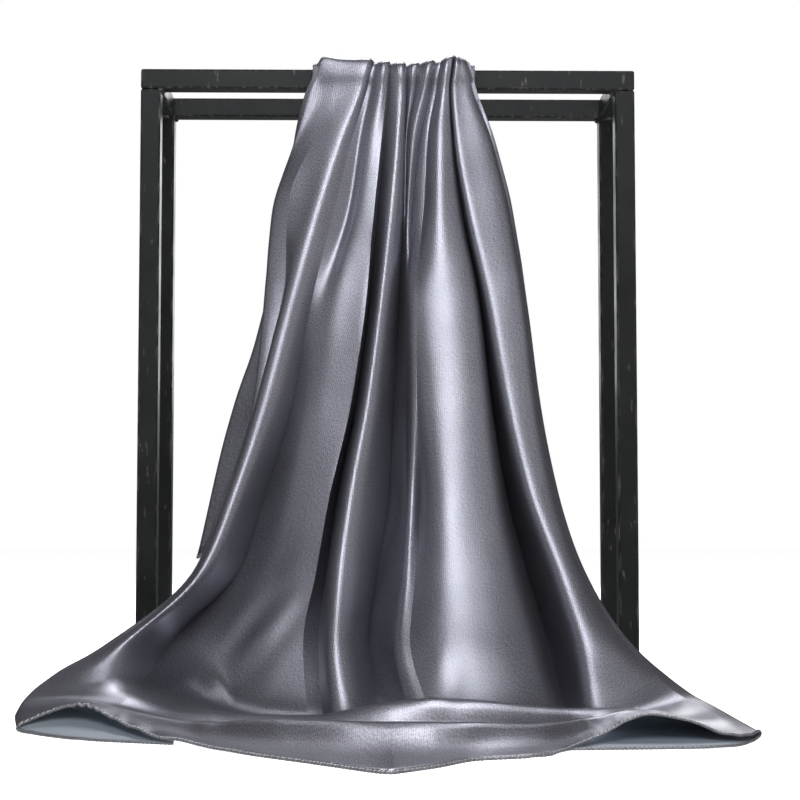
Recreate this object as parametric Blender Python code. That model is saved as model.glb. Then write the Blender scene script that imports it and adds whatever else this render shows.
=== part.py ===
"""Square satin scarf draped over the front bar of a steel frame stand.

The stand is two rectangles of square tube, joined at their top corners.
The scarf is one square of cloth. It hangs in folds over the front bar, one corner
runs out over the table towards the viewer, and the rest hangs behind the bar.
Tables are in millimetres, in the stand's own directions: X to the right from the
middle of the front bar, Y back from its front face, Z up from the table.
"""

import bpy
import numpy as np

MM = 0.001

# Stand, in millimetres
STAND_WIDTH = 400.0
STAND_DEPTH = 114.0
STAND_HEIGHT = 514.0
TUBE = 16.0
TUBE_CORNER = 1.5
SEAM = 0.3
WIDE_SEAM = 0.5

# Cloth, in millimetres
WALL = 1.0
HEM_WIDTH = 4.0
HEM_THICK = 1.4
FLAT = 0.8
ROW_SPACING = 26.0
COLUMN_SPACING = 9.0
FEWEST_COLUMNS = 2
FEWEST_ROWS = 1
MOST_STEPS = 4
SHARPEST_BEND = 0.65

# Heights on the front fall at which the folds are given
FALL_HEIGHTS = (60, 110, 170, 240, 320, 400, 460, 497)
# How far the fall leans out from the bar at each of these heights
FALL_LEAN = (-98, -74, -54, -38, -25, -15, -9, -6)

# Heights at which the depth of a fold is given as low, middle and top
DEPTH_HEIGHTS = (110, 300, 497)

# Front folds, from left to right. spread: place along the hem, 0 at the left tip, 0.5 at the
# front corner, 1 at the right tip. low, middle, top: depth against the mean surface, minus
# towards the viewer. x60 to x497: distance to the right at each height. crown: over the bar.
SPREAD, DEPTHS, FIRST_X, LAST_X = 1, slice(2, 5), 5, 13
FRONT_FOLDS = (
    # name, spread, low, middle, top, x60, x110, x170, x240, x320, x400, x460, x497, crown
    ("left_rim", 0.00, 8, 8, 1, -208, -149, -127, -107, -100, -93, -68, -54, -51),
    ("left_groove", 0.02, 0, 4, 1, -201, -143, -121, -101, -85, -71, -54, -40, -38),
    ("ridge_1", 0.05, -8, -12, -3, -192, -142, -119, -98, -79, -61, -37, -20, -11),
    ("dark_band", 0.17, 14, 3, 1, -165, -120, -92, -67, -50, -38, -23, -13, -6),
    ("ridge_2", 0.31, -10, -8, -3, -94, -72, -59, -46, -33, -23, -13, -7, 0),
    ("deep_valley_left", 0.42, 30, 14, 2, -60, -53, -42, -27, -15, -7, -4, -1, 5),
    ("ridge_3", 0.455, -18, -12, -4, -41, -41, -34, -19, -7, 2, 6, 8, 11),
    ("valley_4", 0.50, 8, 8, 2, -12, -2, 1, 3, 7, 10, 12, 13, 17),
    ("ridge_5", 0.56, -4, -5, -4, 10, 14, 16, 16, 17, 22, 23, 26, 30),
    ("valley_5", 0.58, 4, 5, 2, 22, 26, 26, 25, 25, 29, 31, 34, 36),
    ("ridge_6", 0.64, -24, -16, -4, 58, 54, 49, 47, 45, 39, 40, 43, 44),
    ("deep_valley_right", 0.78, 30, 16, 2, 120, 102, 88, 78, 69, 60, 53, 49, 49),
    ("ridge_8", 0.83, -14, -12, -4, 146, 128, 110, 94, 81, 66, 58, 53, 53),
    ("valley_8", 0.88, 4, 5, 1, 158, 137, 119, 104, 91, 77, 66, 57, 56),
    ("fold_a", 0.93, -3, -4, -2, 168, 143, 125, 112, 100, 87, 73, 60, 59),
    ("right_rim", 1.00, 10, 10, 0, 180, 150, 131, 117, 106, 94, 78, 63, 62),
)

# The part that lies on the table, as five lines from the hem back to the foot of the fall.
# Each row: spread, x, y, z.
FRONT_HEM_LEFT = (
    (0.000, -267, -132, 3.4),
    (0.047, -238, -147, 16.0),
    (0.084, -214, -158, 22.5),
    (0.125, -190, -173, 14.0),
    (0.213, -143, -212, 1.0),
    (0.341, -76, -272, 0.9),
    (0.500, -3, -343, 0.9),
)
FRONT_HEM_RIGHT = (
    (0.500, -3, -343, 0.9),
    (0.560, 28, -314, 0.9),
    (0.630, 60, -279, 0.9),
    (0.670, 86, -278, 0.9),
    (0.755, 122, -232, 1.2),
    (0.800, 145, -213, 9.0),
    (0.840, 172, -213, 25.0),
    (0.890, 203, -214, 15.0),
    (0.925, 228, -214, 6.0),
    (0.965, 249, -194, 6.4),
    (1.000, 260, -160, 3.2),
)
FRONT_ROLL = (
    (0.00, -270, -122, 9),
    (0.02, -265, -128, 14),
    (0.05, -240, -137, 20),
    (0.09, -213, -151, 24),
    (0.13, -186, -166, 20),
    (0.22, -135, -194, 15),
    (0.34, -75, -230, 14),
    (0.50, -3, -262, 15),
    (0.63, 62, -252, 14),
    (0.75, 110, -222, 14),
    (0.80, 140, -204, 18),
    (0.84, 168, -202, 26),
    (0.89, 200, -203, 17),
    (0.93, 222, -196, 8),
    (0.97, 247, -166, 9),
    (1.00, 257, -150, 5),
)
TROUGH = (
    (0.00, -268, -114, 15),
    (0.02, -264, -120, 19),
    (0.05, -236, -127, 18),
    (0.10, -205, -138, 9),
    (0.20, -145, -160, 6),
    (0.34, -72, -196, 6),
    (0.50, -3, -222, 8),
    (0.63, 62, -222, 8),
    (0.75, 112, -202, 8),
    (0.84, 168, -186, 11),
    (0.92, 215, -172, 9),
    (0.97, 244, -149, 11),
    (1.00, 250, -138, 9),
)
REAR_ROLL = (
    (0.00, -262, -107, 24),
    (0.02, -258, -113, 27),
    (0.05, -232, -121, 26),
    (0.12, -185, -132, 16),
    (0.20, -135, -146, 12),
    (0.28, -92, -166, 18),
    (0.34, -66, -180, 14),
    (0.42, -35, -188, 20),
    (0.50, -3, -196, 28),
    (0.58, 33, -200, 31),
    (0.65, 68, -198, 29),
    (0.75, 118, -188, 22),
    (0.84, 165, -172, 16),
    (0.92, 208, -156, 13),
    (0.97, 236, -134, 16),
    (1.00, 241, -125, 14),
)
FOOT_OF_FALL = (
    (0.00, -249, -97, 34),
    (0.02, -243, -106, 39),
    (0.05, -222, -112, 38),
    (0.12, -180, -117, 24),
    (0.20, -130, -122, 10),
    (0.30, -90, -128, 6),
    (0.42, -46, -134, 4),
    (0.50, -7, -142, 4),
    (0.58, 30, -150, 5),
    (0.68, 82, -148, 6),
    (0.78, 130, -136, 7),
    (0.86, 172, -124, 11),
    (0.93, 202, -116, 18),
    (0.97, 221, -112, 25),
    (1.00, 226, -103, 23),
)

# Where the cloth turns under at each side: a middle line and an edge line, from the hem up.
# Each row: x, y, z of the middle line, then of the edge.
TURNED_LEFT = (
    (-215, -181, 0.8, -158, -205, 0.8),
    (-216, -165, 0.8, -159, -190, 0.8),
    (-213, -150, 0.8, -160, -175, 0.8),
    (-208, -130, 0.8, -161, -155, 0.8),
    (-203, -100, 2.0, -162, -125, 0.8),
    (-180, -70, 28, -152, -80, 6),
    (-139, -54, 92, -126, -52, 72),
    (-118, -36, 168, -106, -30, 164),
    (-101, -20, 240, -89, -16, 240),
    (-96, -6, 320, -84, -2, 320),
    (-91, -3, 400, -82, 2, 400),
    (-73, -5, 460, -75, -1, 460),
    (-61, -5, 497, -66, -3, 497),
)
TURNED_RIGHT = (
    (226, -228, 0.8, 142, -236, 0.8),
    (226, -205, 0.8, 150, -218, 0.8),
    (220, -180, 0.8, 152, -198, 0.8),
    (214, -155, 0.8, 155, -172, 0.8),
    (200, -108, 2.0, 152, -136, 0.8),
    (166, -74, 28, 144, -80, 6),
    (141, -52, 90, 128, -50, 72),
    (122, -34, 168, 110, -28, 164),
    (110, -18, 240, 98, -14, 240),
    (100, -6, 320, 90, -1, 320),
    (91, -3, 400, 82, 2, 400),
    (81, -5, 460, 81, -1, 460),
    (67, -5, 497, 71, -3, 497),
)
# Places across, past the rim, of the tucked point just under it, the middle and the edge
TURNED_SPREAD = (0.015, 0.10, 0.19)
# How far in and down the cloth has turned at the tucked point, on the table
TUCK_IN = 3.0
TUCK_DOWN = 2.2

# The same two lines where the cloth goes over the bar's front edge and its top: the edge row
# by its x and how far it lies behind the cloth's face, the top row by its x and z
OVER_LEFT = ((-59, -1.0), (-64, 0.0), (-56, 521.0), (-61, 517.0))
OVER_RIGHT = ((66, -1.0), (70, 0.0), (65, 517.0), (68, 516.0))

# Height of the cloth over the bar: x, z
CROWN = (
    (-62, 518.0),
    (-55, 522.5),
    (-42, 520.0),
    (-20, 519.0),
    (-11, 520.5),
    (-6, 515.6),
    (1, 519.5),
    (6, 514.85),
    (11, 518.0),
    (17, 514.85),
    (30, 520.0),
    (36, 515.4),
    (44, 520.5),
    (54, 522.5),
    (62, 519.0),
    (68, 516.0),
)
CROWN_Y = 8.0
# Where the cloth rounds the bar's two upper edges: y, z below and at the corner, and how
# far a fold of the depth 1 stands out there in y and z
EDGE_SHARES = (0.3, 0.7)
FRONT_EDGE_ROWS = ((-3.4, 507.0, -1.0, 0.3), (-1.8, 515.2, -0.6, 0.7))
BACK_EDGE_ROWS = ((18.0, 515.2, 0.4, 0.5), (19.6, 507.0, 0.8, 0.2))

# Back fall, from left to right: across: 0 at the left edge, 1 at the right edge.
# x490 to x_hem: distance to the right; y490 to y_hem: distance back; hem: height of the hem.
BACK_HEIGHTS = (490, 400, 300, 220)
ACROSS, BACK_CROWN, BACK_X, HEM_X, BACK_Y, HEM_Y, HEM_Z = 1, 2, 3, 7, 8, 12, 13
BACK_FOLDS = (
    # name, across, crown, x490, x400, x300, x220, x_hem, y490, y400, y300, y220, y_hem, hem
    ("curl_hem", 0.00, -62, -66, -77, -103, -129, -142, 20, 22, 24, 28, 31, 145),
    ("curl_edge", 0.06, -57, -61, -84, -108, -138, -157, 21, 34, 38, 46, 52, 119),
    ("curl_back", 0.14, -52, -54, -72, -90, -112, -128, 25, 52, 66, 76, 82, 128),
    ("back_valley_1", 0.24, -43, -44, -53, -62, -76, -86, 20, 22, 24, 28, 32, 136),
    ("back_ridge_1", 0.33, -29, -30, -38, -45, -54, -60, 30, 60, 76, 88, 92, 140),
    ("back_valley_2", 0.41, -15, -15, -18, -21, -25, -28, 20, 23, 26, 30, 34, 150),
    ("back_ridge_2", 0.50, 1, 1, 1, 0, -2, -3, 30, 62, 80, 92, 95, 154),
    ("back_valley_3", 0.58, 15, 15, 17, 20, 22, 24, 20, 23, 26, 31, 34, 162),
    ("back_ridge_3", 0.67, 29, 30, 36, 42, 48, 52, 30, 60, 76, 86, 90, 168),
    ("back_valley_4", 0.76, 43, 44, 52, 61, 70, 75, 20, 22, 26, 30, 33, 176),
    ("back_ridge_4", 0.86, 55, 59, 74, 87, 97, 100, 28, 50, 62, 72, 75, 184),
    ("right_edge", 1.00, 65, 77, 103, 117, 126, 128, 20, 28, 35, 41, 43, 196),
)

# Stretches of the front cloth, as numbers of rows of its table
TRAIN_ROWS = (0, 4)
FALL_ROWS = (4, 12)
SADDLE_ROWS = (12, 15)
# Places across the front hem between which each length of hem runs
HEM_LENGTHS = {
    "hem_under_left": (-0.19, -0.06),
    "hem_front_left": (0.05, 0.50),
    "hem_front_right": (0.50, 0.96),
    "hem_under_right": (1.06, 1.19),
}

COLOURS = {
    # name: colour, roughness, metallic
    "satin": ((0.16, 0.16, 0.19), 0.32, 0.25),
    "hem": ((0.26, 0.27, 0.30), 0.5, 0.1),
    "paint": ((0.025, 0.027, 0.028), 0.55, 0.0),
}


def clear_scene():
    for old in list(bpy.data.objects):
        bpy.data.objects.remove(old)


def material(name):
    """One Principled material for each piece, named after its finish."""
    colour, roughness, metallic = COLOURS[name]
    made = bpy.data.materials.new(name)
    made.use_nodes = True
    shader = made.node_tree.nodes["Principled BSDF"]
    shader.inputs["Base Color"].default_value = (*colour, 1.0)
    shader.inputs["Roughness"].default_value = roughness
    shader.inputs["Metallic"].default_value = metallic
    made.diffuse_color = (*colour, 1.0)
    return made


def add_object(name, points, faces, finish):
    """A mesh object from points in millimetres."""
    mesh = bpy.data.meshes.new(name)
    mesh.from_pydata((np.asarray(points) * MM).tolist(), [], faces)
    mesh.materials.append(material(finish))
    mesh.shade_smooth()
    made = bpy.data.objects.new(name, mesh)
    bpy.context.collection.objects.link(made)
    return made


def through(knots, values, at):
    """Smooth curve through the values at the knots, which never overshoots between two."""
    knots = np.asarray(knots, float)
    values = np.asarray(values, float).reshape(len(knots), -1)
    at = np.clip(np.atleast_1d(at), knots[0], knots[-1])
    gap = np.diff(knots)[:, None]
    slope = np.diff(values, axis=0) / gap
    tangent = np.zeros_like(values)
    tangent[0] = slope[0]
    tangent[-1] = slope[-1]
    before, after = slope[:-1], slope[1:]
    same_way = before * after > 0
    total = np.where(same_way, before + after, 1.0)
    tangent[1:-1] = np.where(same_way, 2 * before * after / total, 0.0)
    span = np.clip(np.searchsorted(knots, at, side="right") - 1, 0, len(gap) - 1)
    t = ((at - knots[span]) / gap[span, 0])[:, None]
    start = values[span] * (1 + 2 * t) * (1 - t) ** 2
    start += tangent[span] * gap[span] * t * (1 - t) ** 2
    end = values[span + 1] * t**2 * (3 - 2 * t)
    end += tangent[span + 1] * gap[span] * t**2 * (t - 1)
    return start + end


def unit(vectors):
    return vectors / np.linalg.norm(vectors, axis=-1, keepdims=True)


def column(rows, index):
    return np.array([row[index] for row in rows], float)


def crown_points(xs):
    """Points of the cloth over the middle of the bar's top."""
    height = through(column(CROWN, 0), column(CROWN, 1), xs)[:, 0]
    return np.stack([xs, np.full(len(xs), CROWN_Y), height], axis=1)


def train_row(line, spreads):
    return through(column(line, 0), [row[1:] for row in line], spreads)


def front_hem(spreads):
    """The front hem is two straight-cut edges that meet in the scarf's front corner."""
    left = train_row(FRONT_HEM_LEFT, spreads)
    right = train_row(FRONT_HEM_RIGHT, spreads)
    return np.where(spreads[:, None] <= 0.5, left, right)


def fall_row(number, height):
    """One level row of the front fall: the folds' places and depths at a height."""
    points = []
    for fold in FRONT_FOLDS:
        depth = np.interp(height, DEPTH_HEIGHTS, fold[DEPTHS])
        points.append((fold[FIRST_X + number], FALL_LEAN[number] + depth, height))
    return points


def tucked(rim, middle):
    """The point where the cloth has just turned under its rim."""
    way = middle - np.asarray(rim)
    point = rim + unit(way) * min(TUCK_IN, np.linalg.norm(way) / 3)
    if rim[2] < FALL_HEIGHTS[0]:
        point[2] = max(point[2] - TUCK_DOWN, FLAT)
    return point


def front_net():
    """Knots across and the rows of knot points of the front cloth, hem to crown."""
    spreads = column(FRONT_FOLDS, SPREAD)
    lines = (FRONT_ROLL, TROUGH, REAR_ROLL, FOOT_OF_FALL)
    rows = [front_hem(spreads)] + [train_row(line, spreads) for line in lines]
    rows += [fall_row(i, height) for i, height in enumerate(FALL_HEIGHTS)]
    crown_x = column(FRONT_FOLDS, LAST_X)
    depths = np.array([fold[DEPTHS][-1] for fold in FRONT_FOLDS], float)
    height = depths.max() - depths
    for share, (y, z, out, up) in zip(EDGE_SHARES, FRONT_EDGE_ROWS):
        row = np.array(rows[SADDLE_ROWS[0]], float)
        row[:, 0] += (crown_x - row[:, 0]) * share
        row[:, 1] = y + out * height
        row[:, 2] = z + up * height
        rows.append(row)
    rows.append(crown_points(crown_x))
    left = [(row[3:], row[:3]) for row in TURNED_LEFT]
    right = [(row[:3], row[3:]) for row in TURNED_RIGHT]
    for side, lines in ((left, OVER_LEFT), (right, OVER_RIGHT)):
        inner, outer, top_inner, top_outer = lines
        for y, z, _, _ in FRONT_EDGE_ROWS:
            pair = [(x, y + behind, z) for x, behind in (inner, outer)]
            side.append(pair if side is right else pair[::-1])
        pair = [(x, CROWN_Y, z) for x, z in (top_inner, top_outer)]
        side.append(pair if side is right else pair[::-1])
    net = []
    for (edge, middle), row, (far_middle, far_edge) in zip(left, rows, right):
        near_tuck, far_tuck = tucked(row[0], middle), tucked(row[-1], far_middle)
        net.append(np.vstack([edge, middle, near_tuck, row, far_tuck, far_middle, far_edge]))
    outside = np.array(TURNED_SPREAD)
    knots = np.concatenate([-outside[::-1], spreads, 1 + outside])
    return knots, np.array(net)


def back_net():
    """Knots across and the rows of knot points of the back cloth, crown to hem."""
    across = column(BACK_FOLDS, ACROSS)
    crown_x = column(BACK_FOLDS, BACK_CROWN)
    crown = crown_points(crown_x)
    rows = [crown]
    height = column(BACK_FOLDS, BACK_Y) - column(BACK_FOLDS, BACK_Y).min()
    for share, (y, z, out, up) in zip(EDGE_SHARES, BACK_EDGE_ROWS):
        row = crown.copy()
        row[:, 0] += (column(BACK_FOLDS, BACK_X) - crown_x) * share
        row[:, 1] = y + out * height / 2
        row[:, 2] = z + up * height / 2
        rows.append(row)
    for i, height in enumerate(BACK_HEIGHTS):
        places = [column(BACK_FOLDS, BACK_X + i), column(BACK_FOLDS, BACK_Y + i)]
        rows.append(np.stack([*places, np.full(len(across), float(height))], axis=1))
    rows.append(np.stack([column(BACK_FOLDS, index) for index in (HEM_X, HEM_Y, HEM_Z)], axis=1))
    return across, np.array(rows)


def steps(knots, lengths, spacing, fewest):
    """Every knot, with even steps of about the spacing from each to the next."""
    fine = []
    for start, end, length in zip(knots[:-1], knots[1:], lengths):
        count = int(np.clip(round(length / spacing), fewest, MOST_STEPS))
        fine.append(np.linspace(start, end, count, endpoint=False))
    return np.append(np.concatenate(fine), knots[-1])


def column_places(knots, net):
    """Places across the cloth, closer where its folds lie closer."""
    lengths = np.linalg.norm(np.diff(net, axis=1), axis=2).mean(axis=0)
    return steps(knots, lengths, COLUMN_SPACING, FEWEST_COLUMNS)


def row_places(places):
    return steps(places, np.diff(places), ROW_SPACING, FEWEST_ROWS)


def row_knots(net):
    """A place for each row of the net, by the mean length of cloth between them."""
    lengths = np.linalg.norm(np.diff(net, axis=0), axis=2).mean(axis=1)
    return np.concatenate([[0.0], np.cumsum(lengths)])


def surface(knots, net, across, along):
    """The cloth's points at places across and along it."""
    wide = np.stack([through(knots, row, across) for row in net])
    places = row_knots(net)
    return np.stack([through(places, wide[:, i], along) for i in range(len(across))], axis=1)


def outward(knots, net, across, along):
    """The way out of the cloth at places across and along it, a little longer at its bends."""
    runs = unit(np.diff(surface(knots, net, across, along), axis=1))
    wide = np.concatenate([2 * runs[:, :1], runs[:, :-1] + runs[:, 1:], 2 * runs[:, -1:]], axis=1)
    low, high = np.clip((along - 1, along + 1), 0, row_knots(net)[-1])
    deep = surface(knots, net, across, high) - surface(knots, net, across, low)
    bend = np.linalg.norm(wide, axis=2, keepdims=True) / 2
    return unit(np.cross(wide, deep)) / np.maximum(bend, SHARPEST_BEND)


def draw_in(lines, start, end=0.0):
    """Shortens each line of points by the margins at its start and its end."""
    drawn = []
    for line, first, last in np.broadcast(np.arange(len(lines)), start, end):
        points = lines[line]
        place = np.concatenate([[0.0], np.cumsum(np.linalg.norm(np.diff(points, axis=0), axis=1))])
        kept = first + place * (1 - (first + last) / place[-1])
        drawn.append(np.stack([np.interp(kept, place, points[:, k]) for k in range(3)], axis=1))
    return np.array(drawn)


def trim_start(lines):
    """Shortens the first step of an edge, and of the line inside it, by a hem and a seam."""
    step = lines[:, 1] - lines[:, 0]
    trimmed = lines.copy()
    trimmed[:, 0] += step * (HEM_WIDTH + WIDE_SEAM) / np.linalg.norm(step, axis=1, keepdims=True)
    return trimmed


def edge_frame(edge, inside):
    """At each point of an edge, the way into the cloth, longer at bends, and the normal."""
    runs = unit(np.diff(edge, axis=0))
    along = np.vstack([2 * runs[:1], runs[:-1] + runs[1:], 2 * runs[-1:]])
    bend = np.linalg.norm(along, axis=1, keepdims=True) / 2
    normal = unit(np.cross(along, inside - edge))
    return np.cross(normal, unit(along)) / np.maximum(bend, SHARPEST_BEND), normal


def cloth_wall(name, points, normals):
    """A closed wall of even thickness on both sides of a grid of points."""
    down, wide = points.shape[:2]
    front = (points + normals * WALL / 2).reshape(-1, 3)
    back = (points - normals * WALL / 2).reshape(-1, 3)
    far = down * wide
    faces = []
    for i in range(down - 1):
        for j in range(wide - 1):
            a = i * wide + j
            b, c, d = a + 1, a + wide + 1, a + wide
            for x, y, z in ((a, b, c), (a, c, d)):
                faces += [(x, y, z), (far + z, far + y, far + x)]
    rim = list(range(wide))
    rim += [i * wide + wide - 1 for i in range(1, down)]
    rim += [(down - 1) * wide + j for j in range(wide - 2, -1, -1)]
    rim += [i * wide for i in range(down - 2, 0, -1)]
    for a, b in zip(rim, rim[1:] + rim[:1]):
        faces.append((b, a, far + a, far + b))
    return add_object(name, np.vstack([front, back]), faces, "satin")


def hem_strip(name, edge, inside):
    """A rolled hem along an edge: a flat strip with rounded sides just outside the wall."""
    inward, normal = edge_frame(edge, inside)
    thick = HEM_THICK / 2
    near, far = HEM_WIDTH * 0.2, HEM_WIDTH * 0.8
    section = ((0, 0), (near, thick), (far, thick), (HEM_WIDTH, 0), (far, -thick), (near, -thick))
    points = np.stack([edge + inward * a + normal * b for a, b in section], axis=1)
    count, sides = points.shape[:2]
    faces = []
    for i in range(count - 1):
        for k in range(sides):
            a, b = i * sides + k, i * sides + (k + 1) % sides
            faces.append((a, a + sides, b + sides, b))
    faces.append(tuple(range(sides)))
    faces.append(tuple((count - 1) * sides + k for k in range(sides))[::-1])
    return add_object(name, points.reshape(-1, 3), faces, "hem")


def tube(name, low, high):
    """One closed length of square tube with rounded corners, from corner to corner."""
    low, high = np.array(low, float), np.array(high, float)
    bpy.ops.mesh.primitive_cube_add(size=1.0)
    made = bpy.context.object
    made.name = name
    for vertex in made.data.vertices:
        share = np.array(vertex.co) + 0.5
        vertex.co = (low + (high - low) * share) * MM
    made.data.materials.append(material("paint"))
    rounding = made.modifiers.new("corner", "BEVEL")
    rounding.width = TUBE_CORNER * MM
    rounding.segments = 2
    return made


def build_stand():
    half = STAND_WIDTH / 2
    under = STAND_HEIGHT - TUBE
    tube("front_bar", (-half, 0, under), (half, TUBE, STAND_HEIGHT))
    tube("back_bar", (-half, STAND_DEPTH - TUBE, under), (half, STAND_DEPTH, STAND_HEIGHT))
    for side, x in (("left", -half), ("right", half - TUBE)):
        near, far = TUBE + SEAM, STAND_DEPTH - TUBE - SEAM
        tube(side + "_depth_bar", (x, near, under), (x + TUBE, far, STAND_HEIGHT))
        for row, y in (("front", 0), ("back", STAND_DEPTH - TUBE)):
            tube(f"{row}_{side}_leg", (x, y, 0), (x + TUBE, y + TUBE, under - SEAM))


def behind_hem(points, first):
    """Draws a grid's first row back so that a hem fits outside it, on the columns given."""
    inward, _ = edge_frame(points[0], points[1])
    margin = np.where(first, HEM_WIDTH + WIDE_SEAM, 0.0) * np.ones(points.shape[1])
    drawn = draw_in(points.swapaxes(0, 1), margin).swapaxes(0, 1)
    drawn[0] = points[0] + inward * margin[:, None]
    return drawn


def build_front():
    """The front cloth, from its hem on the table up to the middle of the bar's top."""
    knots, net = front_net()
    across = column_places(knots, net)
    places = row_knots(net)
    for name, (first, last) in (
        ("scarf_train", TRAIN_ROWS),
        ("scarf_front_fall", FALL_ROWS),
        ("scarf_over_bar", SADDLE_ROWS),
    ):
        along = row_places(places[first : last + 1])
        along[0] += WIDE_SEAM / 2 if first else 0.0
        along[-1] -= WIDE_SEAM / 2 if last < SADDLE_ROWS[1] else WIDE_SEAM
        points = surface(knots, net, across, along)
        if first == 0:
            points = add_front_hems(across, points)
        cloth_wall(name, points, outward(knots, net, across, along))


def add_front_hems(across, points):
    """Puts the lengths of hem along the front edge and draws the wall back behind them."""
    hemmed = np.zeros(len(across), bool)
    for name, (start, end) in HEM_LENGTHS.items():
        near = np.arange(np.argmin(abs(across - start)), np.argmin(abs(across - end)) + 1)
        hemmed[near] = True
        lines = points[:2, near]
        if name == "hem_front_right":
            lines = trim_start(lines)
        hem_strip(name, lines[0], lines[1])
    return behind_hem(points, hemmed)


def build_back():
    """The back cloth, from the middle of the bar's top down to its hem and back corner."""
    knots, net = back_net()
    across = column_places(knots, net)
    along = row_places(row_knots(net))
    along[0] += WIDE_SEAM
    points = surface(knots, net, across, along)
    normals = outward(knots, net, across, along)
    hem_strip("hem_back_right", points[-1][::-1], points[-2][::-1])
    left = trim_start(points[::-1, :2].swapaxes(0, 1))
    right = trim_start(points[::-1, :-3:-1].swapaxes(0, 1))
    hem_strip("hem_back_left", left[0][::-1], left[1][::-1])
    hem_strip("hem_back_right_rise", right[0], right[1])
    points = behind_hem(points[::-1], True)[::-1].swapaxes(0, 1)
    points = behind_hem(behind_hem(points, True)[::-1], True)[::-1]
    cloth_wall("scarf_back_fall", points.swapaxes(0, 1), normals)


def stand_on_origin():
    """Moves the whole part so that the middle of its box's underside is the origin."""
    graph = bpy.context.evaluated_depsgraph_get()
    lows, highs = [], []
    for piece in bpy.data.objects:
        mesh = piece.evaluated_get(graph).to_mesh()
        points = np.array([vertex.co for vertex in mesh.vertices])
        lows.append(points.min(axis=0))
        highs.append(points.max(axis=0))
    low, high = np.min(lows, axis=0), np.max(highs, axis=0)
    shift = np.array([-(low[0] + high[0]) / 2, -(low[1] + high[1]) / 2, -low[2]])
    for piece in bpy.data.objects:
        for vertex in piece.data.vertices:
            vertex.co = np.array(vertex.co) + shift


clear_scene()
build_stand()
build_front()
build_back()
stand_on_origin()
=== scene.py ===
# %% [markdown]
# # A satin scarf on a steel stand
# The scarf is one square of satin, 80 cm on each side, draped over the front bar of a
# black stand of square steel tube. The stand comes from the CAD model and stays as it is.
# The scarf is modelled again here, much finer, and it stands for the CAD model's cloth.

import math

import bmesh
import bpy
import numpy as np
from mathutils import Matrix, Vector


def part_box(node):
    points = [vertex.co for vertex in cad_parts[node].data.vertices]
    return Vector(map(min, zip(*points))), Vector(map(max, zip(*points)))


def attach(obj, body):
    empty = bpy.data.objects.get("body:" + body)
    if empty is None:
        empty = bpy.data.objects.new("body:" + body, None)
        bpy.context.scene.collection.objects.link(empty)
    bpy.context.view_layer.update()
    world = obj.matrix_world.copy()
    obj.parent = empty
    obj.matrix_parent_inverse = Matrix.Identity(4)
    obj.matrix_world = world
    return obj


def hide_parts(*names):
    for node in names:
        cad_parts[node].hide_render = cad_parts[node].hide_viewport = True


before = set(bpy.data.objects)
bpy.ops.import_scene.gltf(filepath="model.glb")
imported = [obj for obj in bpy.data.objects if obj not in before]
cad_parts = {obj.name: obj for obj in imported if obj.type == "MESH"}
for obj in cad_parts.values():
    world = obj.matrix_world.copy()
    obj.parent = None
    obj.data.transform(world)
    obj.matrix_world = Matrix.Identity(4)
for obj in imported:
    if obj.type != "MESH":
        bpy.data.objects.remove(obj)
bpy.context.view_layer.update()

# %% [markdown]
# ## Places
# Every table below is in millimetres, measured from the middle of the front bar's face at
# table height: X to the right, Y away from the viewer, Z up. The front bar of the CAD model
# tells where that point lies in the scene, so the scarf always sits on its bar.

# %% From the stand's millimetres to the scene's metres
MM = 0.001
BAR_UNDERSIDE = 498.0
bar_low, bar_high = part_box("front_bar")
ORIGIN = np.array(
    [(bar_low.x + bar_high.x) / 2, bar_low.y, bar_low.z - BAR_UNDERSIDE * MM]
)


def to_scene(points):
    return np.asarray(points, float) * MM + ORIGIN


print("stand's zero point in the scene:", np.round(ORIGIN, 4))

# %% [markdown]
# ## Camera
# The photo is taken from a little above the table, a metre and a half away, and looks
# slightly up at the bar. Its place was worked out from the four corners of the stand.

# %% Camera
CAMERA_PLACE = (-12.3, -1376.5, 153.9)
CAMERA_LENS = 77.6
CAMERA_YAW = math.radians(0.91)
CAMERA_PITCH = math.radians(3.81)
camera = bpy.data.objects.new("camera", bpy.data.cameras.new("camera"))
bpy.context.collection.objects.link(camera)
camera.location = to_scene(CAMERA_PLACE)
camera.rotation_euler = (math.pi / 2 + CAMERA_PITCH, 0.0, -CAMERA_YAW)
camera.data.lens = CAMERA_LENS
camera.data.sensor_width = 36.0
bpy.context.scene.camera = camera
print("camera at", [round(value, 3) for value in camera.location])

# %% [markdown]
# ## How the folds are described
# A hanging cloth can be simulated, but then its folds fall where they like. Here each fold
# of the photo is placed one by one instead: a fold is a line of knots from the hem up to
# the bar, and the cloth is a smooth skin through all these knots. A curve that never
# overshoots between two knots keeps every fold where its table says.

# %% Smooth curves through knots


def unit(vectors):
    return vectors / np.maximum(np.linalg.norm(vectors, axis=-1, keepdims=True), 1e-9)


def column(rows, index):
    return np.array([row[index] for row in rows], float)


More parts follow.
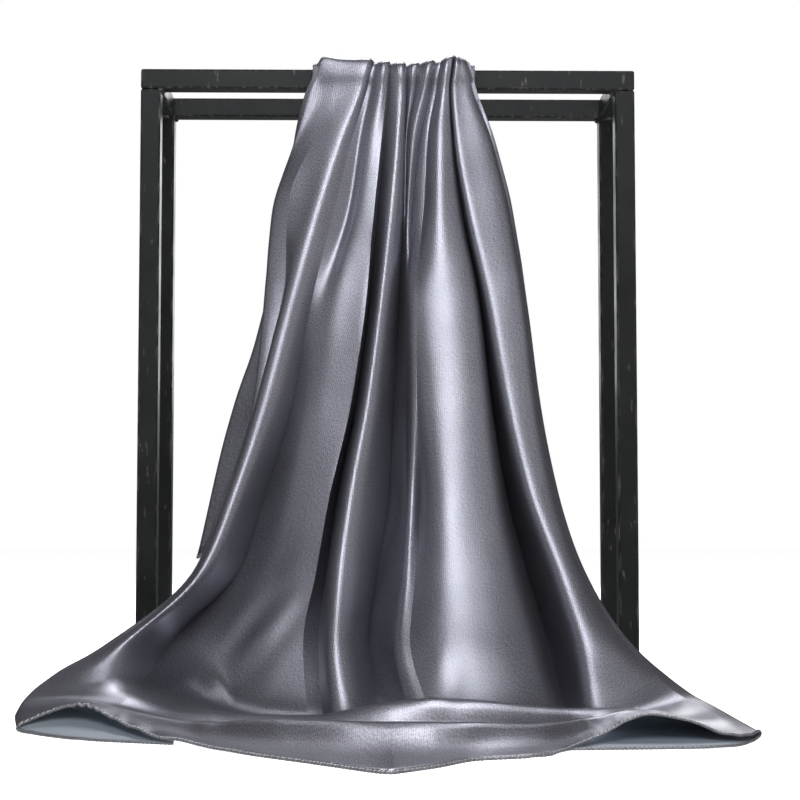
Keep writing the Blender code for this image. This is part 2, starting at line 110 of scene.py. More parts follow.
def through(knots, values, at):
    """Smooth curve through the values at the knots, which never overshoots between two."""
    knots = np.asarray(knots, float)
    values = np.asarray(values, float).reshape(len(knots), -1)
    at = np.clip(np.atleast_1d(at), knots[0], knots[-1])
    gap = np.diff(knots)[:, None]
    slope = np.diff(values, axis=0) / gap
    tangent = np.zeros_like(values)
    tangent[0] = slope[0]
    tangent[-1] = slope[-1]
    before, after = slope[:-1], slope[1:]
    same_way = before * after > 0
    total = np.where(same_way, before + after, 1.0)
    tangent[1:-1] = np.where(same_way, 2 * before * after / total, 0.0)
    span = np.clip(np.searchsorted(knots, at, side="right") - 1, 0, len(gap) - 1)
    t = ((at - knots[span]) / gap[span, 0])[:, None]
    start = values[span] * (1 + 2 * t) * (1 - t) ** 2
    start += tangent[span] * gap[span] * t * (1 - t) ** 2
    end = values[span + 1] * t**2 * (3 - 2 * t)
    end += tangent[span + 1] * gap[span] * t**2 * (t - 1)
    return start + end


print("a curve through 0, 1 and 1, halfway to the first 1:", through((0, 1, 2), (0, 1, 1), 0.5))

# %% [markdown]
# ## The folds of the front
# From left to right, each row is one crest, edge or valley that shows on the hanging front.
# "spread" is its place along the hem: 0 at the left tip, 0.5 at the front corner, 1 at the
# right tip. The depths say how far it stands back from the mean surface at five heights, and
# the places say how far to the right it lies at eight heights and over the bar.
#
# A crisp edge with a black valley behind it is two rows close together. Where a name starts
# with one of SHARP_NAMES, the cloth is pointed there, as a pinched valley is, and elsewhere
# it is round. The narrow folds in the middle share one wall 240 mm up, given in WALL.

# %% Table of the front folds
FALL_HEIGHTS = (60, 110, 170, 240, 320, 400, 460, 497)
FALL_LEAN = (-98, -74, -54, -38, -25, -15, -9, -6)
DEPTH_HEIGHTS = (60, 170, 300, 400, 497)
SPREAD = 1
DEPTHS = slice(2, 7)
FIRST_X = 7
LAST_X = 15
FRONT_FOLDS = (
    # name, spread, depth at 60 170 300 400 497, x at 60 110 170 240 320 400 460 497, crown
    ("left_rim", 0.000, 8, 9, 11, 6, 1, -208, -149, -127, -107, -100, -93, -68, -54, -53),
    ("left_layer", 0.012, 7, 8, 7, 2, 0, -206, -148, -126, -105, -94, -87, -63, -49, -47),
    ("under_pleat", 0.024, 6, 7, 8, -1, -1, -204, -147, -124, -99, -82, -80, -57, -44, -41),
    ("left_edge", 0.036, 0, -1, -4, -5, -2, -203, -147, -125, -105, -86, -68, -51, -37, -33),
    ("ridge_1", 0.060, -10, -13, -13, -11, -5, -195, -142, -119, -98, -78, -56, -36, -21, -12.5),
    ("slope_1", 0.085, -6, -10, -11, -9.5, -3, -187, -134, -110, -88, -70, -50, -32, -19, -11.3),
    ("tuck_1", 0.120, 54, 30, 0, -3, 1, -164, -116, -96, -75, -61, -42, -28, -17, -9.7),
    ("band_top", 0.170, 44, 12, -4, 3, 1, -140, -98, -80, -65, -52, -31, -22, -14, -7.5),
    ("panel_mid", 0.240, 34, 6, -9, -3, -3, -115, -84, -68, -54, -42, -26, -17, -9, -5),
    ("ridge_2", 0.310, 21, 2, -10, -6, -4.5, -92, -71, -58, -44, -31, -20, -11, -5, -2.5),
    ("panel_end", 0.395, 13, -2, -13, -7.5, -3, -64, -55, -45, -29, -18, -11, -5, -1.5, 0.5),
    ("valley_2", 0.420, 22, 48, 26, 8, 1, -53, -48, -40, -26, -15.5, -7.5, -2.5, 0.5, 2.5),
    ("shoulder_3", 0.440, -12.5, -12.5, -11.5, -9.5, -4, -46, -43, -35, -21, -10, -1, 4, 6, 7),
    ("ridge_3", 0.455, -15, -15, -14, -11, -5, -39, -37, -30, -17, -6.5, 2.5, 8, 10, 10.5),
    ("slope_3", 0.475, -12.5, -12.5, -11.5, -9.5, -4.5, -32, -29, -21, -10, -1, 7, 10.5, 12, 12),
    ("edge_3", 0.490, 3, 2, -1, -4, -3, -23, -18, -10, -2, 5.5, 10.5, 12.5, 13.5, 13),
    ("valley_3", 0.505, 36, 32, 28, 10, 3, -15, -8, 1, 4, 8.5, 12, 13.7, 15, 15),
    ("crest_5a", 0.515, 30, 26, 22, 7, -4, -12, -5, 4, 6, 9.5, 13, 14.5, 20, 24.5),
    ("valley_5a", 0.522, 24, 20, 15, 8, 3, -8, -2, 7, 8, 10.7, 13.7, 15.3, 22.5, 26.5),
    ("crest_5b", 0.535, 17, 13, 7, 3, -5, -4, 2, 9.5, 10, 12, 15, 18.5, 29, 36.5),
    ("edge_5", 0.548, 10, 7, 0, 3, -3, -1, 5, 12, 12, 13.2, 17, 24, 31.5, 38),
    ("valley_5", 0.560, -1, 4, -7, 9, 3, 3, 9, 14, 14, 14.4, 19.5, 26, 34, 40),
    ("narrow_ridge", 0.575, -11, -8, -18, 3, 0, 6, 12, 16.5, 17, 17, 24, 29.5, 37, 42),
    ("narrow_valley", 0.590, -9, 3, -18.5, 3, 1, 15, 20, 24, 22, 22, 28.5, 32, 39, 44),
    ("shoulder_6", 0.615, -20, -20, -18, -13.5, -4, 31, 31, 30, 28, 28.5, 32.5, 36, 41.5, 46.5),
    ("ridge_6", 0.650, -24, -23, -20, -15, -5.5, 47, 46, 45, 44, 43, 40.5, 41, 45, 49),
    ("slope_6", 0.700, -22.5, -21.5, -19, -13.5, -4.5, 69, 65, 60, 57, 53, 46, 45.5, 47, 51.5),
    ("edge_6", 0.755, -12, -13, -13, -8, -4, 103, 94, 84, 77, 70, 56, 50, 48.5, 54),
    ("valley_7", 0.785, 58, 56, 36, 17, 3.5, 122, 109, 95, 84, 74.5, 59.2, 51.8, 49.6, 55.5),
    ("shoulder_8", 0.810, -14.5, -14.5, -13.5, -11.5, -3.5, 137, 123, 103, 88, 75.5, 60.5, 52.5, 50.9, 56.3),
    ("ridge_8", 0.830, -15, -15, -14, -12, -5, 144, 130, 109, 94, 81.5, 64.5, 55, 52.6, 57),
    ("slope_8", 0.870, -14, -14, -13, -10.5, -3.5, 153, 136, 115, 100, 88, 70.5, 60, 56, 58.5),
    ("fold_a", 0.925, -5, -7, -8, -6, -2.5, 168, 145, 126, 114, 106, 93, 79, 65, 60),
    ("valley_a", 0.950, 4, 3, 2, 1, 1, 174, 147, 129, 117, 108, 96, 81.5, 68, 61),
    ("right_rim", 1.000, 8, 8, 8, 4, 0, 180, 150, 132, 120, 111, 100, 85, 71.5, 62.5),
)
WALL_HEIGHT = 240
WALL = {
    "crest_5a": 25,
    "valley_5a": 21,
    "crest_5b": 17,
    "edge_5": 14,
    "valley_5": 10,
    "narrow_ridge": -13,
    "narrow_valley": -9,
}
SHARP_NAMES = ("valley", "tuck", "under", "narrow_valley", "panel_end")
print("front folds:", len(FRONT_FOLDS))

# %% [markdown]
# ## The part on the table
# Towards the viewer the scarf runs out over the table and ends in its front corner. Lines
# from left to right hold its shape: the hem, the long roll behind it, the trough, the rear
# roll and the foot of the hanging folds. With so few lines, one can be raised or pushed back
# until it fits the photo, and the next ones stay. Each row is a spread and a point.

# %% The hem on the table
FRONT_HEM_LEFT = (
    (0.000, -267, -132, 3.4),
    (0.047, -238, -147, 16.0),
    (0.084, -214, -158, 22.5),
    (0.125, -190, -173, 14.0),
    (0.213, -143, -212, 2.6),
    (0.341, -76, -272, 0.9),
    (0.500, -3, -343, 0.9),
)
FRONT_HEM_RIGHT = (
    (0.500, -3, -343, 0.9),
    (0.560, 28, -314, 0.9),
    (0.630, 60, -279, 0.9),
    (0.670, 86, -278, 0.9),
    (0.755, 122, -232, 3.0),
    (0.800, 145, -213, 9.0),
    (0.840, 172, -213, 25.0),
    (0.890, 203, -214, 15.0),
    (0.925, 228, -214, 6.0),
    (0.965, 249, -194, 6.4),
    (1.000, 260, -160, 3.2),
)
print("front corner at", FRONT_HEM_LEFT[-1][1:])

# %% The lines behind the hem
FRONT_ROLL = (
    (0.00, -270, -122, 9),
    (0.02, -265, -128, 14),
    (0.05, -240, -137, 20),
    (0.09, -213, -151, 23.5),
    (0.13, -186, -166, 20),
    (0.22, -135, -194, 14),
    (0.34, -75, -229, 22),
    (0.50, -3, -262, 23),
    (0.63, 62, -248, 21),
    (0.75, 110, -222, 17),
    (0.80, 140, -204, 18),
    (0.84, 168, -202, 26),
    (0.89, 200, -203, 17),
    (0.93, 222, -196, 8),
    (0.97, 247, -166, 9),
    (1.00, 257, -150, 5),
)
TROUGH = (
    (0.00, -268, -114, 15),
    (0.02, -264, -120, 19),
    (0.05, -236, -127, 23),
    (0.10, -205, -138, 21),
    (0.20, -145, -166, 9),
    (0.34, -72, -208, 6),
    (0.50, -3, -236, 6),
    (0.63, 62, -229, 6),
    (0.75, 112, -208, 5),
    (0.84, 168, -186, 21),
    (0.92, 215, -172, 9),
    (0.97, 244, -149, 11),
    (1.00, 250, -138, 9),
)
REAR_ROLL = (
    (0.00, -262, -107, 24),
    (0.02, -258, -113, 27),
    (0.05, -232, -121, 30),
    (0.12, -185, -132, 24),
    (0.20, -135, -146, 12),
    (0.28, -92, -166, 18),
    (0.34, -66, -180, 14),
    (0.42, -35, -188, 20),
    (0.50, -3, -196, 28),
    (0.58, 33, -200, 31),
    (0.65, 68, -198, 29),
    (0.75, 118, -188, 22),
    (0.84, 165, -172, 21),
    (0.92, 208, -156, 13),
    (0.97, 236, -134, 16),
    (1.00, 241, -125, 14),
)
FOOT_OF_FALL = (
    (0.00, -249, -97, 34),
    (0.02, -243, -106, 39),
    (0.05, -222, -112, 41),
    (0.12, -180, -117, 33),
    (0.20, -130, -122, 14),
    (0.30, -90, -128, 6),
    (0.42, -46, -134, 4),
    (0.50, -7, -142, 4),
    (0.58, 30, -150, 5),
    (0.68, 82, -148, 6),
    (0.78, 130, -136, 7),
    (0.86, 172, -124, 11),
    (0.93, 202, -116, 18),
    (0.97, 221, -112, 25),
    (1.00, 226, -103, 23),
)
TABLE_LINES = (FRONT_ROLL, TROUGH, REAR_ROLL, FOOT_OF_FALL)
print("lowest point of each line:", [column(line, 3).min() for line in TABLE_LINES])

# %% [markdown]
# ## Where the cloth turns under
# At both tips the cloth folds under itself and runs back inside the drape. Two lines hold
# each turned part, a middle line and an edge line, from the hem up to the bar.

# %% Tables of the turned sides
# Each row is x, y, z of the middle line, then x, y, z of the edge line.
TURNED_LEFT = (
    (-215, -181, 0.8, -146, -207, 0.8),
    (-216, -165, 6.0, -147, -190, 0.8),
    (-213, -150, 10.0, -150, -175, 0.8),
    (-208, -130, 11.0, -156, -155, 0.8),
    (-203, -100, 2.0, -162, -125, 0.8),
    (-186, -34, 28, -160, -18, 8),
    (-142, -18, 92, -130, -4, 72),
    (-120, -18, 168, -110, -8, 164),
    (-101, -13, 240, -91, -7, 240),
    (-96, -6, 320, -84, -2, 320),
    (-91, -3, 400, -82, 2, 400),
    (-73, -5, 460, -75, -1, 460),
    (-61, -5, 497, -66, -3, 497),
)
TURNED_RIGHT = (
    (226, -228, 0.8, 112, -238, 0.8),
    (226, -205, 3.0, 124, -218, 0.8),
    (220, -180, 4.0, 136, -198, 0.8),
    (214, -155, 5.0, 146, -172, 0.8),
    (200, -108, 2.0, 152, -136, 0.8),
    (166, -74, 28, 144, -80, 6),
    (141, -52, 90, 128, -50, 72),
    (122, -34, 168, 110, -28, 164),
    (110, -18, 240, 98, -14, 240),
    (102, -6, 320, 92, -1, 320),
    (93, -3, 400, 84, 2, 400),
    (80, -5, 460, 78, -1, 460),
    (67, -5, 497, 69, -3, 497),
)
TURNED_SPREAD = (0.015, 0.10, 0.19)
TUCK_IN = 3.0
TUCK_DOWN = 2.2
FLAT = 0.8
print("rows of the turned sides:", len(TURNED_LEFT), "and", len(TURNED_RIGHT))

# %% [markdown]
# ## Over the bar
# Gathered on the bar, the cloth stands up in small loops with nicks between them, and its
# first and last loops are the highest. CROWN holds the height over the middle of the bar
# from left to right. Two rows of knots bring the front round the bar's upper edge, steeply,
# so that the edge stays dark below the bright loops, and two rows do so behind the bar.

# %% Tables of the cloth over the bar
# The turned sides: x and y behind the edge row, twice, then x and height of the crown, twice.
OVER_LEFT = ((-57.5, -1.0), (-61, 0.0), (-54.5, 521.0), (-57, 519.0))
OVER_RIGHT = ((66, -1.0), (70, 0.0), (65, 517.0), (68, 516.0))
CROWN_Y = 8.0
CROWN = (
    (-60, 518.0),
    (-57, 523.5),
    (-53, 526.0),
    (-46, 525.0),
    (-36, 523.0),
    (-20, 522.2),
    (-12.5, 523.4),
    (-10, 519.6),
    (-5, 520.4),
    (0.5, 521.4),
    (2.5, 518.8),
    (10.5, 520.2),
    (13, 519.8),
    (15, 517.2),
    (24.5, 522.4),
    (26.5, 519.2),
    (36.5, 523.4),
    (40, 520.6),
    (49, 524.6),
    (54, 526.2),
    (62, 521.6),
    (68, 516.4),
)
CROWN_LOW = 519
EDGE_SHARES = (0.3, 0.7)
# y, z, then how far a fold moves in Y for each mm that it stands out, and its part of
# what the crown rises above CROWN_LOW.
FRONT_EDGE_ROWS = ((-3.8, 507.5, -0.9, 0.3), (-3.2, 516.8, -0.6, 1.0))
# y, z, then how far a fold moves in Y and in Z for each mm that it stands out.
BACK_EDGE_ROWS = ((18.0, 515.2, 0.2, 0.25), (19.6, 507.0, 0.4, 0.1))
print("highest loop:", column(CROWN, 1).max(), "mm above the table")

# %% [markdown]
# ## The knots of the front
# The lines and the folds make a net of knots, one row for each height: the lines on the
# table first, then the eight heights of the fall, then the rows over the bar.

# %% Rows on the table and up the fall
FOOT_SHARE = 0.45


def line_row(line, spreads):
    return through(column(line, 0), [row[1:] for row in line], spreads)


def hem_row(spreads):
    left = line_row(FRONT_HEM_LEFT, spreads)
    right = line_row(FRONT_HEM_RIGHT, spreads)
    return np.where(spreads[:, None] <= 0.5, left, right)


def depths_at(height):
    """How far each fold stands back at a height, with one straight wall where some merge."""
    depths = [np.interp(height, DEPTH_HEIGHTS, fold[DEPTHS]) for fold in FRONT_FOLDS]
    if height == WALL_HEIGHT:
        depths = [WALL.get(fold[0], depth) for fold, depth in zip(FRONT_FOLDS, depths)]
    return np.array(depths, float)


def fall_row(number, height):
    depth = depths_at(height)
    x = column(FRONT_FOLDS, FIRST_X + number)
    return np.stack([x, FALL_LEAN[number] + depth, np.full(len(x), float(height))], axis=1)


def front_rows(spreads):
    """The rows from the hem up to the bar."""
    rows = [hem_row(spreads)] + [line_row(line, spreads) for line in TABLE_LINES]
    rows[-1][:, 1] += FOOT_SHARE * depths_at(DEPTH_HEIGHTS[0])
    return rows + [fall_row(i, height) for i, height in enumerate(FALL_HEIGHTS)]


front_spreads = column(FRONT_FOLDS, SPREAD)
rising_rows = front_rows(front_spreads)
print("rows from the hem to the bar:", len(rising_rows))

# %% Rows over the bar


def crown_points(xs):
    height = through(column(CROWN, 0), column(CROWN, 1), xs)[:, 0]
    return np.stack([xs, np.full(len(xs), CROWN_Y), height], axis=1)


def bar_rows(top):
    """Two rows round the bar's upper front edge and the row over its middle."""
    crown_x = column(FRONT_FOLDS, LAST_X)
    depth = depths_at(FALL_HEIGHTS[-1])
    stands_out = depth.max() - depth
    crown = crown_points(crown_x)
    rows = []
    for share, (y, z, out, lift) in zip(EDGE_SHARES, FRONT_EDGE_ROWS):
        row = np.array(top, float)
        row[:, 0] += (crown_x - row[:, 0]) * share
        row[:, 1] = y + out * stands_out
        row[:, 2] = z + lift * (crown[:, 2] - CROWN_LOW)
        rows.append(row)
    return rows + [crown]


knot_rows = rising_rows + bar_rows(rising_rows[-1])
print("rows from the hem to the crown:", len(knot_rows))

# %% [markdown]
# ## The turned sides join the net
# Each row of the front gets three knots more at either end: just under the rim, on the
# middle line and on the edge line. Without the first one the rim would look inflated.

# %% The whole net


def tucked(rim, middle):
    """The point where the cloth has just turned under its rim."""
    way = middle - np.asarray(rim)
    point = rim + unit(way) * min(TUCK_IN, np.linalg.norm(way) / 3)
    if rim[2] < FALL_HEIGHTS[0]:
        point[2] = max(point[2] - TUCK_DOWN, FLAT)
    return point


def turned_side(rows, over):
    """Pairs of the middle and the edge point for every row of the net."""
    pairs = [(row[:3], row[3:]) for row in rows]
    inner, outer, top_inner, top_outer = over
    for y, z, _, _ in FRONT_EDGE_ROWS:
        pairs.append([(x, y + behind, z) for x, behind in (inner, outer)])
    pairs.append([(x, CROWN_Y, z) for x, z in (top_inner, top_outer)])
    return np.array(pairs, float)


def whole_net(rows):
    """The rows with the turned sides at both ends."""
    left = turned_side(TURNED_LEFT, OVER_LEFT)
    right = turned_side(TURNED_RIGHT, OVER_RIGHT)
    net = []
    for near, row, far in zip(left, rows, right):
        near_tuck, far_tuck = tucked(row[0], near[0]), tucked(row[-1], far[0])
        net.append(np.vstack([near[1], near[0], near_tuck, row, far_tuck, far[0], far[1]]))
    return np.array(net)


outside = np.array(TURNED_SPREAD)
front_knots = np.concatenate([-outside[::-1], front_spreads, 1 + outside])
front_net = whole_net(knot_rows)
print("front net:", front_net.shape[0], "rows of", front_net.shape[1], "knots")

# %% [markdown]
# ## The skirt of the front corner
# From the hem the cloth rises gently and then climbs to the long roll. Two rows more, low
# in the middle and even at the tips, make that slope hollow, so that it catches the light
# in long bands and not all at once.

# %% Two rows between the hem and the roll
SKIRT_ROWS = ((0.6, 0.36), (0.87, 0.81))
SKIRT_FADE = 0.12
SKIRT_START = 1.2


def add_skirt(knots, net):
    """Puts in each row at its share of the way, and its share of the height in the middle."""
    from_tip = 0.5 - abs(knots - 0.5)
    middle = np.clip(from_tip / SKIRT_FADE - SKIRT_START, 0, 1)[:, None]
    rows = [net[0]]
    for share, low_share in SKIRT_ROWS:
        row = net[0] + (net[1] - net[0]) * share
        low = net[0, :, 2:] + (net[1, :, 2:] - net[0, :, 2:]) * low_share
        row[:, 2:] += (low - row[:, 2:]) * middle
        rows.append(row)
    return np.array(rows + list(net[1:]))


front_net = add_skirt(front_knots, front_net)
print("front net with the skirt:", front_net.shape[0], "rows")

# %% [markdown]
# ## The skin
# The skin is a grid of points, closer across than along, because folds run down the cloth.
# Every knot keeps a column or a row of its own, so that no crest is cut off between two.
# A subdivision surface would round the pinched valleys too, so the skin is worked out here
# at its full fineness, smooth between the sharp knots and pointed at them.

# %% Steps between the knots


def steps_of(points, axis=0):
    return np.linalg.norm(np.diff(points, axis=axis), axis=-1)


def mean_steps(net, axis):
    return steps_of(net, axis).mean(axis=1 - axis)


def running_total(lengths):
    return np.concatenate([[0.0], np.cumsum(lengths)])


def shares_of(knots, lengths, spacing, fewest):
    """Every knot, with even steps of about the spacing from each to the next."""
    fine = []
    spacing = np.broadcast_to(spacing, len(lengths))
    for start, end, length, step in zip(knots[:-1], knots[1:], lengths, spacing):
        count = max(fewest, round(length / step))
        fine.append(np.linspace(start, end, count, endpoint=False))
    return np.append(np.concatenate(fine), knots[-1])


print("front net from hem to crown:", round(mean_steps(front_net, 0).sum()), "mm")

# %% Grid of the skin


def across_curve(knots, row, across, sharp):
    """Smooth between sharp knots, and pointed at them, as a deep valley is."""
    ends = [0, *sharp, len(knots) - 1]
    curve = np.zeros((len(across), row.shape[1]))
    for first, last in zip(ends[:-1], ends[1:]):
        part = (across >= knots[first]) & (across <= knots[last])
        curve[part] = through(knots[first : last + 1], row[first : last + 1], across[part])
    return curve


def skin(knots, net, across_spacing, along_spacing, sharp=()):
    """Grid of points of the cloth, and its places across."""
    across = shares_of(knots, mean_steps(net, 1), across_spacing, 3)
    rises = mean_steps(net, 0)
    places = running_total(rises)
    along = shares_of(places, rises, along_spacing, 2)
    wide = np.stack([across_curve(knots, row, across, sharp) for row in net])
    grid = [through(places, wide[:, i], along) for i in range(len(across))]
    return np.stack(grid, axis=1), across


def even_out(grid, across_times, along_times, kept):
    """Rounds the skin a little, but leaves the kept columns where they are."""
    grid = grid.copy()
    soft = [i for i in range(1, grid.shape[1] - 1) if i not in kept]
    before = [i - 1 for i in soft]
    after = [i + 1 for i in soft]
    for _ in range(across_times):
        grid[:, soft] = (grid[:, before] + 2 * grid[:, soft] + grid[:, after]) / 4
    for _ in range(along_times):
        grid[1:-1] = (grid[:-2] + 2 * grid[1:-1] + grid[2:]) / 4
    return grid


# Steps in mm between the points: across, and then up the table, the fall and the bar.
FRONT_COLUMN_STEP = 3.0
FRONT_ROW_STEP = [4.5] * 6 + [6.0] + [7.0] * 7 + [2.2] * 3
sharp_knots = [
    i + len(TURNED_SPREAD)
    for i, fold in enumerate(FRONT_FOLDS)
    if fold[0].startswith(SHARP_NAMES)
]
front, front_across = skin(
    front_knots, front_net, FRONT_COLUMN_STEP, FRONT_ROW_STEP, sharp_knots
)
sharp_columns = {int(abs(front_across - front_knots[k]).argmin()) for k in sharp_knots}
front = even_out(front, across_times=10, along_times=2, kept=sharp_columns)
print("front skin:", front.shape[0], "rows of", front.shape[1], "points")

# %% [markdown]
# ## The cloth behind the bar
# Behind the bar the scarf hangs free, and nobody has smoothed it: it falls in four uneven
# folds, and its left edge curls round so that the satin side shows past the front. It is
# made as the front is, from a table of folds, and its last row is the hem.

# %% Table of the back folds
BACK_HEIGHTS = (490, 400, 300, 220)
ACROSS = 1
BACK_CROWN = 2
BACK_X = 3
HEM_X = 7
BACK_Y = 8
HEM_Y = 12
HEM_Z = 13
BACK_FOLDS = (
    # name, across, crown, x490, x400, x300, x220, x_hem, y490, y400, y300, y220, y_hem, hem
    ("curl_hem", 0.00, -61, -66, -72, -91, -106, -116, 20, 27, 36, 42, 46, 145),
    ("curl_edge", 0.06, -57, -61, -84, -108, -134, -157, 21, 34, 42, 50, 56, 119),
    ("curl_back", 0.14, -52, -54, -72, -90, -112, -128, 25, 52, 66, 76, 82, 128),
    ("back_valley_1", 0.24, -43, -44, -53, -62, -76, -86, 20, 22, 24, 28, 32, 136),
    ("back_ridge_1", 0.33, -29, -30, -39, -48, -58, -64, 28, 50, 62, 72, 76, 140),
    ("back_valley_2", 0.41, -15, -15, -20, -26, -32, -36, 20, 26, 36, 44, 50, 150),
    ("back_ridge_2", 0.50, 1, 1, -1, -5, -9, -11, 30, 62, 80, 92, 95, 154),
    ("back_valley_3", 0.58, 15, 15, 15, 15, 14, 14, 20, 22, 24, 26, 28, 162),
    ("back_ridge_3", 0.67, 29, 30, 37, 44, 50, 54, 30, 56, 68, 76, 80, 168),
    ("back_valley_4", 0.76, 43, 45, 55, 65, 73, 78, 20, 30, 40, 50, 54, 176),
    ("back_ridge_4", 0.86, 55, 59, 74, 87, 97, 100, 28, 50, 62, 72, 75, 184),
    ("right_edge", 1.00, 68, 73, 98, 112, 122, 126, 20, 28, 35, 41, 43, 196),
)
print("back folds:", len(BACK_FOLDS))

# %% Net and skin of the back
# Steps in mm between the points: across, and then round the bar and down the fall.
BACK_COLUMN_STEP = 3.6
BACK_ROW_STEP = [3.0] * 3 + [6.5] * 4


def back_net():
    """Rows of knot points of the back cloth, crown to hem."""
    crown_x = column(BACK_FOLDS, BACK_CROWN)
    rows = [crown_points(crown_x)]
    stands_out = column(BACK_FOLDS, BACK_Y) - column(BACK_FOLDS, BACK_Y).min()
    for share, (y, z, out, up) in zip(EDGE_SHARES, BACK_EDGE_ROWS):
        row = rows[0].copy()
        row[:, 0] += (column(BACK_FOLDS, BACK_X) - crown_x) * share
        row[:, 1] = y + out * stands_out
        row[:, 2] = z + up * stands_out
        rows.append(row)
    for i, height in enumerate(BACK_HEIGHTS):
        places = [column(BACK_FOLDS, BACK_X + i), column(BACK_FOLDS, BACK_Y + i)]
        rows.append(np.stack([*places, np.full(len(crown_x), float(height))], axis=1))
    rows.append(np.stack([column(BACK_FOLDS, i) for i in (HEM_X, HEM_Y, HEM_Z)], axis=1))
    return np.array(rows)


back, _ = skin(column(BACK_FOLDS, ACROSS), back_net(), BACK_COLUMN_STEP, BACK_ROW_STEP)
back[0] = crown_points(back[0, :, 0])
print("back skin:", back.shape[0], "rows of", back.shape[1], "points")

# %% [markdown]
# ## Creases
# The main folds alone look like sheet metal. Satin also shows soft creases that start and
# end in a panel. They could be sculpted, but a short table can be changed again: a crease
# is a line on the cloth, and points near it move in or out along the surface's direction.

# %% Tables of the creases
FALL_CREASES = (
    # depth (minus stands out), width, line of x, z
    (-1.1, 8, ((-86, 105), (-110, 80), (-125, 58))),
    (1.0, 7, ((-78, 100), (-103, 70), (-120, 50))),
    (-0.9, 8, ((-70, 96), (-95, 62), (-114, 42))),
    (1.0, 7, ((-60, 90), (-84, 58), (-104, 36))),
    (-1.4, 6, ((-136, 36), (-127, 24), (-123, 12))),
    (1.4, 6, ((-128, 38), (-119, 26), (-114, 14))),
    (-1.2, 9, ((44, 60), (36, 40), (22, 24))),
    (1.0, 8, ((52, 64), (47, 40), (42, 24))),
)
BACK_CREASES = (
    # depth (minus stands out), width, line of x, z
    (1.6, 7, ((-40, 470), (-8, 440), (20, 425))),
    (1.4, 8, ((66, 400), (40, 360), (22, 330))),
    (-1.2, 8, ((-86, 300), (-60, 270), (-36, 255))),
    (1.2, 9, ((96, 290), (78, 250), (66, 220))),
)
print("creases:", len(FALL_CREASES), "in front and", len(BACK_CREASES), "behind")

# %% Creases pressed into the skin
CREASE_FACES = 0.15


def grid_normals(grid):
    down = np.gradient(grid, axis=0)
    wide = np.gradient(grid, axis=1)
    return unit(np.cross(wide, down))


def distance_to_line(points, line):
    """Distance of each point from a line of straight pieces, and its share along it."""
    line = np.asarray(line, float)
    best = np.full(points.shape[:-1], 1e9)
    share = np.zeros(points.shape[:-1])
    count = len(line) - 1
    for i in range(count):
        a, b = line[i], line[i + 1]
        run = b - a
        t = np.clip(((points - a) @ run) / (run @ run), 0, 1)
        gap = np.linalg.norm(points - a - t[..., None] * run, axis=-1)
        near = gap < best
        best[near] = gap[near]
        share[near] = ((i + t) / count)[near]
    return best, share


def press_creases(grid, creases, facing):
    """Moves the skin in or out along each crease, where it faces the given way."""
    normals = grid_normals(grid)
    seen = normals @ np.array(facing, float) > CREASE_FACES
    flat = grid[..., [0, 2]]
    moved = grid.copy()
    for depth, width, line in creases:
        gap, share = distance_to_line(flat, line)
        fade = np.sin(math.pi * np.clip(share, 0.02, 0.98)) ** 0.5
        push = depth * np.exp(-((gap / width) ** 2)) * fade * seen
        moved -= normals * push[..., None]
    return moved


front = press_creases(front, FALL_CREASES, (0, -1, 0.2))
back = press_creases(back, BACK_CREASES, (0, 1, 0.2))
print("front reaches from y", front[..., 1].min().round(1), "to", front[..., 1].max().round(1))

# %% [markdown]
# ## Small waves
# No cloth is quite even between its folds. Waves of less than half a millimetre, along the
# folds and across them, break up the long highlights. A noise would do too, but a few sines
# are the same at each run and need no seed.

# %% Waves
FRONT_WAVES = 0.22
BACK_WAVES = 0.35


def cloth_places(grid):
    """Metres of cloth across, from the middle column, and along, for every point."""
    wide = np.zeros(grid.shape[:2])
    wide[:, 1:] = np.cumsum(steps_of(grid, 1), axis=1)
    middle = grid.shape[1] // 2
    wide -= wide[:, middle : middle + 1]
    deep = running_total(mean_steps(grid, 0))
    return wide * MM, np.broadcast_to(deep[:, None], wide.shape) * MM


def small_waves(grid, strength):
    """Low waves that run along the folds and across them on the bias."""
    wide, deep = cloth_places(grid)
    wave = np.sin(48 * wide + 21 * deep + 0.7) * np.sin(17 * deep - 9 * wide + 1.9)
    wave += 0.6 * np.sin(95 * wide - 38 * deep + 2.1) * np.sin(29 * deep + 31 * wide)
    wave += 0.35 * np.sin(150 * wide + 80 * deep) * np.sin(62 * deep - 70 * wide + 0.4)
    return grid + grid_normals(grid) * (strength * wave)[..., None]


front = small_waves(front, FRONT_WAVES)
back = small_waves(back, BACK_WAVES)
back[0] = crown_points(back[0, :, 0])
print("cloth across the hem:", round(float(np.ptp(cloth_places(front)[0][0])), 3), "metres")

# %% [markdown]
# ## Puckers of the hem
# A rolled hem is sewn a little shorter than the cloth, so the cloth beside it puckers every
# 7 mm or so, most of all along the left of the front. The waves die out a thumb's width
# away from the hem.

# %% Puckers
PUCKER_REACH = 12.0
PUCKER_LENGTH = 7.0
PUCKER_AT = (0.0, 0.08, 0.20, 0.30, 0.50, 1.0)
PUCKER_HEIGHTS = (0.8, 1.6, 2.2, 1.2, 0.5, 0.5)
BACK_PUCKER = 0.5
LOWEST = 0.45


def pucker(grid, rows_from_hem, height):
    """Waves beside the hem, whose height may change along it."""
    edge = grid[rows_from_hem[0]]
    place = running_total(steps_of(edge))
    phase = 2 * math.pi * place / PUCKER_LENGTH + 1.3 * np.sin(place / 41.0)
    wave = np.sin(phase) * (0.75 + 0.25 * np.sin(place / 23.0))
    normals = grid_normals(grid)
    for i in rows_from_hem:
        reach = np.linalg.norm(grid[i] - edge, axis=1)
        fade = np.clip(1 - reach / PUCKER_REACH, 0, 1) ** 2
        grid[i] += normals[i] * (wave * height * fade)[:, None]
    return grid


